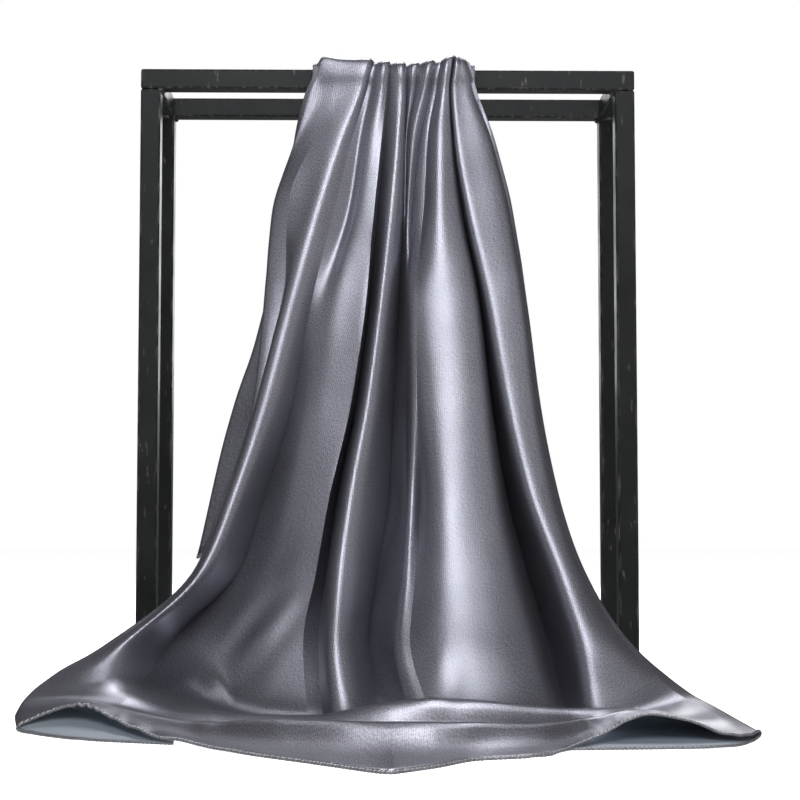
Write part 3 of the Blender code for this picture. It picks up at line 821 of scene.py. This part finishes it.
pucker_height = np.interp(front_across, PUCKER_AT, PUCKER_HEIGHTS)
front = pucker(front, list(range(8)), pucker_height)
back = pucker(back, list(range(len(back) - 1, len(back) - 6, -1)), BACK_PUCKER)
front[..., 2] = np.maximum(front[..., 2], LOWEST)
print("puckers along the front hem:", round(steps_of(front[0]).sum() / PUCKER_LENGTH))

# %% [markdown]
# ## One mesh for one cloth
# The front grid and the back grid meet over the bar. A strip of triangles zips the two rows
# together there, so that the scarf is one piece of cloth, as the real one is. The UV map is
# in metres of cloth, for the weave.

# %% Faces of the cloth


def grid_faces(first, down, wide):
    faces = []
    for i in range(down - 1):
        for j in range(wide - 1):
            a = first + i * wide + j
            faces.append((a, a + 1, a + wide + 1, a + wide))
    return faces


def zip_faces(near, far, near_x, far_x):
    """Triangles between two rows of points that have different counts."""
    faces = []
    i = j = 0
    while i < len(near) - 1 or j < len(far) - 1:
        step_near = i < len(near) - 1 and (
            j == len(far) - 1 or near_x[i + 1] <= far_x[j + 1]
        )
        if step_near:
            faces.append((near[i], near[i + 1], far[j]))
            i += 1
        else:
            faces.append((near[i], far[j + 1], far[j]))
            j += 1
    return faces


def build_scarf(front, back):
    """Points, faces and UV places of the whole scarf."""
    down, wide = front.shape[:2]
    back_down, back_wide = back.shape[:2]
    points = np.vstack([front.reshape(-1, 3), back[1:].reshape(-1, 3)])
    start = down * wide
    faces = grid_faces(0, down, wide) + grid_faces(start, back_down - 1, back_wide)
    near = list(range((down - 1) * wide, down * wide))
    far = list(range(start, start + back_wide))
    faces += zip_faces(near, far, front[-1, :, 0], back[0, :, 0])
    wide_front, deep_front = cloth_places(front)
    wide_back, deep_back = cloth_places(back)
    deep_back = deep_back + deep_front.max()
    u = np.concatenate([wide_front.ravel(), wide_back[1:].ravel()])
    v = np.concatenate([deep_front.ravel(), deep_back[1:].ravel()])
    return points, faces, np.stack([u, v], axis=1)


scarf_points, scarf_faces, scarf_places = build_scarf(front, back)
print("scarf:", len(scarf_points), "points and", len(scarf_faces), "faces")

# %% [markdown]
# ## Satin
# Satin floats its threads on one side, and light runs along them: the face is as bright as
# metal on a crest and almost black where it turns away. A picture of satin would keep its
# light where it was taken, so the surface is made from numbers instead: a metallic shader
# with a wide highlight, stretched across the threads, and a fine twill that breaks it up.
# The threads run parallel to the hem, so on the hanging front they cross it on the bias.

# %% Node helpers


def new_material(name, preview):
    made = bpy.data.materials.new(name)
    made.use_nodes = True
    made.diffuse_color = (*preview, 1.0)
    tree = made.node_tree
    return made, tree, tree.nodes["Principled BSDF"]


def node(tree, kind, **settings):
    made = tree.nodes.new(kind)
    for key, value in settings.items():
        setattr(made, key, value)
    return made


def math_node(tree, operation, first, second):
    made = node(tree, "ShaderNodeMath", operation=operation)
    for socket, value in zip(made.inputs, (first, second)):
        if isinstance(value, (int, float)):
            socket.default_value = value
        else:
            tree.links.new(value, socket)
    return made.outputs[0]


def mapped(tree, source, scale, turn=0.0):
    place = node(tree, "ShaderNodeMapping")
    place.inputs["Scale"].default_value = scale
    place.inputs["Rotation"].default_value = (0.0, 0.0, turn)
    tree.links.new(source, place.inputs["Vector"])
    return place.outputs[0]


def noise(tree, source, scale, detail):
    made = node(tree, "ShaderNodeTexNoise")
    made.inputs["Scale"].default_value = scale
    made.inputs["Detail"].default_value = detail
    tree.links.new(source, made.inputs["Vector"])
    return made.outputs["Fac"]


print("materials before the scarf's:", len(bpy.data.materials))

# %% Helpers for colour, range and bump


def mix_colours(tree, share, low, high):
    """The low colour or socket at 0 and the high colour at 1."""
    made = node(tree, "ShaderNodeMix", data_type="RGBA")
    tree.links.new(share, made.inputs["Factor"])
    for socket, colour in zip((6, 7), (low, high)):
        if isinstance(colour, tuple):
            made.inputs[socket].default_value = (*colour, 1.0)
        else:
            tree.links.new(colour, made.inputs[socket])
    return made.outputs[2]


def between(tree, value, low, high, to_low, to_high):
    """The value stretched from low and high to the two new ends."""
    made = node(tree, "ShaderNodeMapRange")
    tree.links.new(value, made.inputs["Value"])
    ends = {"From Min": low, "From Max": high, "To Min": to_low, "To Max": to_high}
    for name, number in ends.items():
        made.inputs[name].default_value = number
    return made.outputs[0]


def bump(tree, height, strength, distance, shader):
    made = node(tree, "ShaderNodeBump")
    made.inputs["Strength"].default_value = strength
    made.inputs["Distance"].default_value = distance
    tree.links.new(height, made.inputs["Height"])
    tree.links.new(made.outputs[0], shader.inputs["Normal"])


def on_object(tree):
    return node(tree, "ShaderNodeTexCoord").outputs["Object"]


print("helpers for a colour, a range, a bump and the place on a piece")

# %% Weave
THREAD_TURN = math.radians(45)
TWILL_LINES = 300.0


def thread_pattern(tree):
    """Places on the cloth, places along its threads, and the fine lines of the twill."""
    uv = node(tree, "ShaderNodeUVMap", uv_map="cloth").outputs[0]
    threads = mapped(tree, uv, (1.0, 1.0, 1.0), THREAD_TURN)
    lines = node(tree, "ShaderNodeTexWave", wave_type="BANDS", bands_direction="DIAGONAL")
    lines.inputs["Scale"].default_value = TWILL_LINES
    lines.inputs["Distortion"].default_value = 1.2
    lines.inputs["Detail"].default_value = 1.0
    tree.links.new(threads, lines.inputs["Vector"])
    return uv, threads, lines.outputs["Fac"]


print("threads turned by", round(math.degrees(THREAD_TURN)), "degrees")

# %% Satin face
FACE_GRAIN = (1500.0, 620.0, 1.0)
FACE_DARK = (0.085, 0.083, 0.106)
FACE_LIGHT = (0.425, 0.424, 0.485)


def satin_face():
    made, tree, shader = new_material("satin_face", (0.42, 0.42, 0.45))
    uv, threads, twill = thread_pattern(tree)
    grain = noise(tree, mapped(tree, threads, FACE_GRAIN), 1.0, 1.0)
    cloud = math_node(tree, "MULTIPLY", noise(tree, uv, 22.0, 3.0), 0.3)
    speckle = between(tree, grain, 0.35, 0.65, 0.06, 0.54)
    mixed = math_node(tree, "ADD", speckle, cloud)
    mixed = math_node(tree, "ADD", mixed, math_node(tree, "MULTIPLY", twill, 0.14))
    colour = mix_colours(tree, mixed, FACE_DARK, FACE_LIGHT)
    tree.links.new(colour, shader.inputs["Base Color"])
    rough = between(tree, grain, 0.25, 0.75, 0.33, 0.44)
    tree.links.new(rough, shader.inputs["Roughness"])
    shader.inputs["Metallic"].default_value = 0.86
    shader.inputs["Anisotropic"].default_value = 0.35
    tangent = node(tree, "ShaderNodeTangent", direction_type="UV_MAP", uv_map="cloth")
    tree.links.new(tangent.outputs[0], shader.inputs["Tangent"])
    height = math_node(tree, "ADD", grain, math_node(tree, "MULTIPLY", twill, 0.5))
    bump(tree, height, 0.32, 0.0002, shader)
    return made


satin = satin_face()
print("made:", satin.name)

# %% [markdown]
# ## The reverse of the satin
# On the back of satin the threads are tied down, so it is matte and paler. The same cloth
# shows it where it turns under and where one looks in behind the bar.

# %% Satin reverse
REVERSE_GRAIN = (1100.0, 600.0, 1.0)
REVERSE_DARK = (0.26, 0.295, 0.34)
REVERSE_LIGHT = (0.42, 0.46, 0.52)


def satin_reverse():
    made, tree, shader = new_material("satin_reverse", (0.2, 0.23, 0.27))
    _, threads, twill = thread_pattern(tree)
    grain = noise(tree, mapped(tree, threads, REVERSE_GRAIN), 1.0, 3.0)
    colour = mix_colours(tree, grain, REVERSE_DARK, REVERSE_LIGHT)
    tree.links.new(colour, shader.inputs["Base Color"])
    tree.links.new(between(tree, grain, 0.2, 0.8, 0.5, 0.7), shader.inputs["Roughness"])
    shader.inputs["Metallic"].default_value = 0.15
    bump(tree, math_node(tree, "ADD", grain, twill), 0.25, 0.0003, shader)
    return made


reverse = satin_reverse()
print("made:", reverse.name)

# %% [markdown]
# ## The scarf
# The mesh is one sheet, and a Solidify modifier gives it its thickness, with the reverse as
# the second material. The pointed valleys get sharp edges, because smooth shading across
# them would draw a grey line where the photo is black. On the table the cloth is round
# everywhere, so the sharp edges end at the foot of the folds.

# %% Mesh helpers
FOOT_Y = -160.0
sharp_behind = to_scene((0.0, FOOT_Y, 0.0))[1]


def add_mesh(name, points, faces, materials):
    """A mesh object in the scene from points in the stand's millimetres."""
    mesh = bpy.data.meshes.new(name)
    mesh.from_pydata(to_scene(points).tolist(), [], faces)
    for finish in materials:
        mesh.materials.append(finish)
    mesh.shade_smooth()
    made = bpy.data.objects.new(name, mesh)
    bpy.context.collection.objects.link(made)
    return made


def mark_sharp(mesh, columns, down, wide):
    """No smooth shading across the bottoms of the pointed valleys, from their foot up."""
    for edge in mesh.edges:
        a, b = sorted(edge.vertices)
        climbs = b - a == wide and mesh.vertices[a].co.y > sharp_behind
        if climbs and b < down * wide and a % wide in columns:
            edge.use_edge_sharp = True


def set_uv(mesh, places):
    """One UV place for each vertex, in metres of cloth."""
    layer = mesh.uv_layers.new(name="cloth")
    corners = np.zeros(len(mesh.loops), np.int32)
    mesh.loops.foreach_get("vertex_index", corners)
    layer.data.foreach_set("uv", np.asarray(places, np.float32)[corners].ravel())


print("sharp edges end at y", round(float(sharp_behind), 3), "in the scene")

# %% Finish the scarf
CLOTH_THICKNESS = 0.0005
scarf = add_mesh("scarf", scarf_points, scarf_faces, (satin, reverse))
set_uv(scarf.data, scarf_places)
mark_sharp(scarf.data, sharp_columns, *front.shape[:2])
wall = scarf.modifiers.new("thickness", "SOLIDIFY")
wall.thickness = CLOTH_THICKNESS
wall.offset = 0.0
wall.material_offset = 1
wall.use_rim = True
area = sum(face.area for face in scarf.data.polygons)
print("scarf:", len(scarf_faces), "faces, area", round(area, 4), "square metres")

# %% [markdown]
# ## The rolled hem
# The edge is rolled between finger and thumb and sewn over with slanting stitches, so the
# hem looks like a thin rope with pale dashes on it. A curve with a round bevel would be
# quick, but smooth. Here rings are set along the edge of the skin, evened out: a flat oval
# with the grooves of the stitches wound round it.

# %% Hem paths
HEM_STEP = 0.9


def even_path(points, guide):
    """The path and its guide resampled at even steps."""
    place = running_total(steps_of(points))
    at = np.linspace(0, place[-1], max(4, int(place[-1] / HEM_STEP)))
    both = np.hstack([points, guide])
    both = np.stack([np.interp(at, place, both[:, k]) for k in range(6)], axis=1)
    return both[:, :3], both[:, 3:]


def smooth_path(points, times):
    points = points.copy()
    for _ in range(times):
        points[1:-1] = (points[:-2] + 2 * points[1:-1] + points[2:]) / 4
    return points


def hem_frame(path, inside):
    """The ways into the cloth and out of its face, at right angles to the path."""
    along = unit(np.gradient(path, axis=0))
    inward = inside - path
    inward -= along * np.sum(inward * along, axis=1, keepdims=True)
    inward = unit(smooth_path(unit(inward), 6))
    return inward, unit(np.cross(along, inward))


back_edge = np.vstack([back[2:, 0], back[-1, 1:-1], back[:1:-1, -1]])
back_inside = np.vstack([back[2:, 3], back[-4, 1:-1], back[:1:-1, -4]])
print("hem behind the bar:", round(steps_of(back_edge).sum()), "mm")

# %% [markdown]
# ## Hem and thread finishes
# The hem is satin bunched up and sewn, so it glitters in short dashes between dark grooves.
# The thread is a plain polyester, much paler than the cloth.

# %% Hem materials


def hem_finish():
    made, tree, shader = new_material("rolled_hem", (0.45, 0.45, 0.48))
    grain = noise(tree, on_object(tree), 620.0, 3.0)
    colour = mix_colours(tree, grain, (0.05, 0.05, 0.06), (0.38, 0.385, 0.41))
    tree.links.new(colour, shader.inputs["Base Color"])
    tree.links.new(between(tree, grain, 0.3, 0.7, 0.3, 0.45), shader.inputs["Roughness"])
    shader.inputs["Metallic"].default_value = 0.45
    bump(tree, grain, 0.4, 0.0004, shader)
    return made


def thread_finish():
    made, tree, shader = new_material("sewing_thread", (0.5, 0.5, 0.53))
    fibre = noise(tree, on_object(tree), 2600.0, 2.0)
    colour = mix_colours(tree, fibre, (0.62, 0.62, 0.65), (0.86, 0.87, 0.90))
    tree.links.new(colour, shader.inputs["Base Color"])
    tree.links.new(between(tree, fibre, 0.3, 0.7, 0.4, 0.6), shader.inputs["Roughness"])
    bump(tree, fibre, 0.3, 0.0002, shader)
    return made


hem_satin = hem_finish()
thread = thread_finish()
print("made:", hem_satin.name, "and", thread.name)

# %% Hems of the front and of the back
HEM_HALF_WIDTH = 1.4
HEM_HALF_THICK = 0.95
HEM_SIDES = 10
HEM_GROOVE = 0.26
STITCH_PITCH = 3.2
TABLE_TOP = 0.05


def rope(name, path, inward, normal):
    """A closed flat rope along the path, with slanting grooves."""
    place = np.arange(len(path)) * HEM_STEP
    angles = np.linspace(0, 2 * math.pi, HEM_SIDES, endpoint=False)
    turn = 2 * math.pi * place[:, None] / STITCH_PITCH
    groove = 1 + HEM_GROOVE * np.cos(turn + angles)
    across = HEM_HALF_WIDTH * np.cos(angles) * groove
    up = HEM_HALF_THICK * np.sin(angles) * groove
    points = path[:, None] + inward[:, None] * across[..., None]
    points = points + normal[:, None] * up[..., None]
    points[..., 2] = np.maximum(points[..., 2], TABLE_TOP)
    faces = []
    for i in range(len(path) - 1):
        for k in range(HEM_SIDES):
            a, b = i * HEM_SIDES + k, i * HEM_SIDES + (k + 1) % HEM_SIDES
            faces.append((a, a + HEM_SIDES, b + HEM_SIDES, b))
    faces.append(tuple(range(HEM_SIDES)))
    last = (len(path) - 1) * HEM_SIDES
    faces.append(tuple(last + k for k in range(HEM_SIDES))[::-1])
    return add_mesh(name, points.reshape(-1, 3), faces, (hem_satin,))


def hem_along(name, edge, inside):
    path, guide = even_path(edge, inside)
    path = smooth_path(path, 4)
    path[:, 2] = np.maximum(path[:, 2], HEM_HALF_THICK + 0.1)
    inward, normal = hem_frame(path, guide)
    return rope(name, path, inward, normal), (path, inward, normal)


hem_front, front_path = hem_along("hem_front", front[0], front[4])
hem_back, back_path = hem_along("hem_back", back_edge, back_inside)
print("hem lengths in mm:", len(front_path[0]) * HEM_STEP, len(back_path[0]) * HEM_STEP)

# %% [markdown]
# ## Stitches
# One stitch is modelled, from a ball with few faces, and set down a few hundred times, each
# turned to follow the hem and slanted across it, with its own small place error, as a
# sewing machine leaves it.

# %% One stitch


def taken_apart(made):
    """Points and faces of a finished primitive, which leaves the scene."""
    points = np.array([vertex.co for vertex in made.data.vertices])
    faces = [tuple(face.vertices) for face in made.data.polygons]
    bpy.data.objects.remove(made)
    return points, faces


def add_copies(name, copies, faces, finish):
    """One mesh from many copies of a shape, each with its own points."""
    count = len(copies[0])
    all_faces = [
        tuple(number * count + v for v in face)
        for number in range(len(copies))
        for face in faces
    ]
    return add_mesh(name, np.vstack(copies), all_faces, (finish,))


bpy.ops.object.select_all(action="DESELECT")
bpy.ops.mesh.primitive_uv_sphere_add(segments=6, ring_count=4, radius=1.0)
bpy.ops.object.mode_set(mode="EDIT")
bpy.ops.mesh.select_all(action="SELECT")
bpy.ops.transform.rotate(
    value=math.pi / 2, orient_axis="Y", center_override=(0.0, 0.0, 0.0)
)
bpy.ops.object.mode_set(mode="OBJECT")
stitch_shape, stitch_faces = taken_apart(bpy.context.object)
print("a stitch has", len(stitch_faces), "faces")

# %% Stitches along both hems
STITCH_LENGTH = 2.2
STITCH_THICK = 0.32
STITCH_SLANT = math.radians(38)
STITCH_BEND = 0.55
STITCH_SEED = 7


def sew(name, path, inward, normal):
    along = unit(np.gradient(path, axis=0))
    jitter = np.random.default_rng(STITCH_SEED)
    places = np.arange(4, len(path) - 4, STITCH_PITCH / HEM_STEP)
    stitches = []
    for place in places:
        i = int(place)
        slant = STITCH_SLANT + jitter.normal(0, 0.12)
        way = inward[i] * math.cos(slant) + along[i] * math.sin(slant)
        side = np.cross(normal[i], way)
        centre = path[i] + normal[i] * HEM_HALF_THICK * 1.02
        length = STITCH_LENGTH / 2 * (1 + jitter.normal(0, 0.08))
        bent = normal[i] * (-STITCH_BEND * stitch_shape[:, :1] ** 2)
        stitch = centre + way * stitch_shape[:, :1] * length + bent
        stitch = stitch + side * stitch_shape[:, 1:2] * STITCH_THICK
        stitch = stitch + normal[i] * stitch_shape[:, 2:] * STITCH_THICK
        stitch[:, 2] = np.maximum(stitch[:, 2], TABLE_TOP)
        stitches.append(stitch)
    print(name, len(stitches), "stitches")
    return add_copies(name, stitches, stitch_faces, thread)


stitches_front = sew("stitches_front", *front_path)
stitches_back = sew("stitches_back", *back_path)

# %% [markdown]
# ## The stand's paint
# The stand is steel tube, sprayed black. The paint is slightly pitted, and where hands and
# shelves have rubbed it, on the edges above all, it is thin and greyer. The edges are found
# by a Bevel node, which needs no paintwork by hand: there the rounded direction differs from
# the flat one.

# %% Paint
WORN_COLOUR = (0.19, 0.18, 0.17)


def edge_share(tree):
    """1 on the edges of the tube and 0 on its flats."""
    round_edge = node(tree, "ShaderNodeBevel", samples=4)
    round_edge.inputs["Radius"].default_value = 0.0012
    true_way = node(tree, "ShaderNodeNewGeometry")
    dot = node(tree, "ShaderNodeVectorMath", operation="DOT_PRODUCT")
    tree.links.new(round_edge.outputs[0], dot.inputs[0])
    tree.links.new(true_way.outputs["True Normal"], dot.inputs[1])
    return between(tree, dot.outputs["Value"], 0.995, 0.90, 0.0, 1.0)


def stand_paint():
    made, tree, shader = new_material("black_paint", (0.03, 0.032, 0.034))
    place = on_object(tree)
    stains = noise(tree, place, 28.0, 4.0)
    rub = noise(tree, mapped(tree, place, (260.0, 260.0, 60.0)), 1.0, 4.0)
    rubbed = between(tree, rub, 0.5, 0.62, 0.0, 1.0)
    worn = math_node(tree, "MULTIPLY", edge_share(tree), rubbed)
    scuff = between(tree, rub, 0.66, 0.74, 0.0, 0.35)
    wear = math_node(tree, "MAXIMUM", worn, scuff)
    paint = mix_colours(tree, stains, (0.009, 0.010, 0.010), (0.018, 0.019, 0.020))
    colour = mix_colours(tree, wear, paint, WORN_COLOUR)
    tree.links.new(colour, shader.inputs["Base Color"])
    tree.links.new(between(tree, stains, 0.3, 0.7, 0.34, 0.46), shader.inputs["Roughness"])
    shader.inputs["Specular IOR Level"].default_value = 0.16
    bump(tree, noise(tree, place, 1400.0, 2.0), 0.18, 0.0002, shader)
    return made


SOFT_NODES = ("scarf_", "hem_")
black_paint = stand_paint()
stand_nodes = [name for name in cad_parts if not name.startswith(SOFT_NODES)]
for name in stand_nodes:
    cad_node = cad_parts[name]
    cad_node.data.materials.clear()
    cad_node.data.materials.append(black_paint)
print("painted:", sorted(stand_nodes))

# %% [markdown]
# ## Welds
# Where two tubes meet, a short bead of weld fills the inner corner, and its ripples show
# through the paint. One bead is shaped from a cylinder and then copied to each corner.

# %% One weld bead
WELD_RADIUS = 2.6
WELD_LENGTH = 15.0
WELD_RIPPLES = 7
WELD_DEPTH = 0.07


def ripple(vertex):
    """Waves along the bead, which gets thinner towards its ends."""
    turn = 2 * math.pi * WELD_RIPPLES * vertex.co.x / WELD_LENGTH
    end = 1 - (abs(vertex.co.x) / (WELD_LENGTH / 2)) ** 4 * 0.5
    vertex.co.y *= end * (1 + WELD_DEPTH * math.sin(turn))
    vertex.co.z *= end * (1 + WELD_DEPTH * math.sin(turn + 0.8))


bpy.ops.object.select_all(action="DESELECT")
bpy.ops.mesh.primitive_cylinder_add(
    vertices=12, radius=WELD_RADIUS, depth=WELD_LENGTH, rotation=(0, math.pi / 2, 0)
)
bead = bpy.context.object
bpy.ops.object.transform_apply(location=False, rotation=True, scale=False)
bpy.ops.object.mode_set(mode="EDIT")
shape = bmesh.from_edit_mesh(bead.data)
long_edges = [e for e in shape.edges if abs(e.verts[0].co.x - e.verts[1].co.x) > 1]
bmesh.ops.subdivide_edges(shape, edges=long_edges, cuts=4 * WELD_RIPPLES - 1)
for vertex in shape.verts:
    ripple(vertex)
bmesh.update_edit_mesh(bead.data)
bpy.ops.object.mode_set(mode="OBJECT")
bead_shape, bead_faces = taken_apart(bead)
print("a weld bead has", len(bead_faces), "faces")

# %% Beads in the inner corners under the bars
WELDS_ALONG_Y = ((184.0, 8.0), (184.0, 106.0))
WELDS_ALONG_X = ((192.0, 16.0), (192.0, 98.0))
turned_shape = bead_shape[:, [1, 0, 2]] * (-1, 1, 1)
beads = []
for one_bead, spots in ((turned_shape, WELDS_ALONG_Y), (bead_shape, WELDS_ALONG_X)):
    for side in (-1, 1):
        beads += [one_bead + np.array([side * x, y, BAR_UNDERSIDE]) for x, y in spots]
frame_welds = add_copies("frame_welds", beads, bead_faces, black_paint)
print("weld beads:", len(beads))

# %% [markdown]
# ## Floor, light and surroundings
# A pale floor and soft studio light. A tall soft box over the camera gives the cloth its main
# tone, and an upper one behind the bar lights the rolls on the table and all that slopes
# towards it. A low one at the back is for the side that the photo hides. Two large weak ones
# keep the slopes that face left and right a dark grey, which gives satin its black flanks.

# %% Floor


def stage_floor():
    made, tree, shader = new_material("floor", (0.95, 0.95, 0.95))
    cloud = noise(tree, on_object(tree), 3.0, 2.0)
    colour = mix_colours(tree, cloud, (0.93, 0.93, 0.93), (0.95, 0.95, 0.95))
    tree.links.new(colour, shader.inputs["Base Color"])
    shader.inputs["Roughness"].default_value = 0.8
    shader.inputs["Emission Color"].default_value = (1.0, 1.0, 1.0, 1.0)
    shader.inputs["Emission Strength"].default_value = 0.95
    return made


bpy.ops.object.select_all(action="DESELECT")
bpy.ops.mesh.primitive_plane_add(size=14.0, location=(0.0, 0.0, 0.0))
floor = bpy.context.object
floor.name = "floor"
floor.data.materials.append(stage_floor())
floor.visible_glossy = False
print("floor:", [round(side, 1) for side in floor.dimensions])

# %% Soft boxes
SOFT_BOXES = (
    # name, place, aim, width, height, watts, colour
    ("key", (0.0, -1.95, 1.6), (0.0, -0.05, 0.25), 0.95, 1.2, 32.0, (0.97, 0.99, 1.0)),
    ("upper", (0.1, 0.7, 2.2), (0.0, -0.2, 0.02), 1.1, 1.0, 38.0, (1.0, 1.0, 1.0)),
    ("back", (0.3, 2.4, 0.9), (0.0, 0.05, 0.3), 1.2, 1.0, 14.0, (1.0, 1.0, 1.0)),
    ("right", (2.0, -1.2, 0.8), (0.0, 0.0, 0.25), 2.2, 2.0, 8.6, (1.0, 0.99, 0.98)),
    ("left", (-2.0, -1.2, 0.8), (0.0, 0.0, 0.25), 2.2, 2.0, 5.0, (0.98, 0.99, 1.0)),
)
for name, place, aim, width, height, watts, colour in SOFT_BOXES:
    light = bpy.data.lights.new(name, "AREA")
    light.shape = "RECTANGLE"
    light.size = width
    light.size_y = height
    light.energy = watts
    light.color = colour
    box = bpy.data.objects.new(name, light)
    box.location = place
    box.rotation_euler = (Vector(aim) - Vector(place)).to_track_quat("-Z", "Y").to_euler()
    bpy.context.collection.objects.link(box)
print("soft boxes:", len(SOFT_BOXES))

# %% World


def studio_world():
    """Dark surroundings with a bright wall behind, and plain white where the camera looks."""
    world = bpy.data.worlds.new("studio")
    world.use_nodes = True
    tree = world.node_tree
    tree.nodes.clear()
    way = node(tree, "ShaderNodeTexCoord").outputs["Generated"]
    parts = node(tree, "ShaderNodeSeparateXYZ")
    tree.links.new(way, parts.inputs[0])
    wall = between(tree, parts.outputs["Y"], 0.80, 0.93, 0.022, 0.12)
    lit = node(tree, "ShaderNodeBackground")
    tree.links.new(wall, lit.inputs["Strength"])
    plain = node(tree, "ShaderNodeBackground")
    plain.inputs["Strength"].default_value = 1.0
    for background in (lit, plain):
        background.inputs["Color"].default_value = (1.0, 1.0, 1.0, 1.0)
    path = node(tree, "ShaderNodeLightPath")
    mix = node(tree, "ShaderNodeMixShader")
    tree.links.new(path.outputs["Is Camera Ray"], mix.inputs[0])
    tree.links.new(lit.outputs[0], mix.inputs[1])
    tree.links.new(plain.outputs[0], mix.inputs[2])
    out = node(tree, "ShaderNodeOutputWorld")
    tree.links.new(mix.outputs[0], out.inputs[0])
    return world


bpy.context.scene.world = studio_world()
bpy.context.scene.view_settings.view_transform = "Standard"
print("world:", bpy.context.scene.world.name)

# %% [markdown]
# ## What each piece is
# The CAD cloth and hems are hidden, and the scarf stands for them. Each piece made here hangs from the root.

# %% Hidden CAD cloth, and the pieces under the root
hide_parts("scarf_train", "scarf_front_fall", "scarf_over_bar", "scarf_back_fall")
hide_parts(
    "hem_under_left", "hem_front_left", "hem_front_right", "hem_under_right"
)
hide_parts("hem_back_left", "hem_back_right", "hem_back_right_rise")
PIECE_SLOTS = (
    (scarf, "scarf_satin"),
    (hem_front, "scarf_hem"),
    (hem_back, "scarf_hem"),
    (stitches_front, "scarf_hem"),
    (stitches_back, "scarf_hem"),
    (frame_welds, "stand_paint"),
)
for piece, slot in PIECE_SLOTS:
    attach(piece, "root")
print("pieces made here:", [piece.name for piece, _ in PIECE_SLOTS])
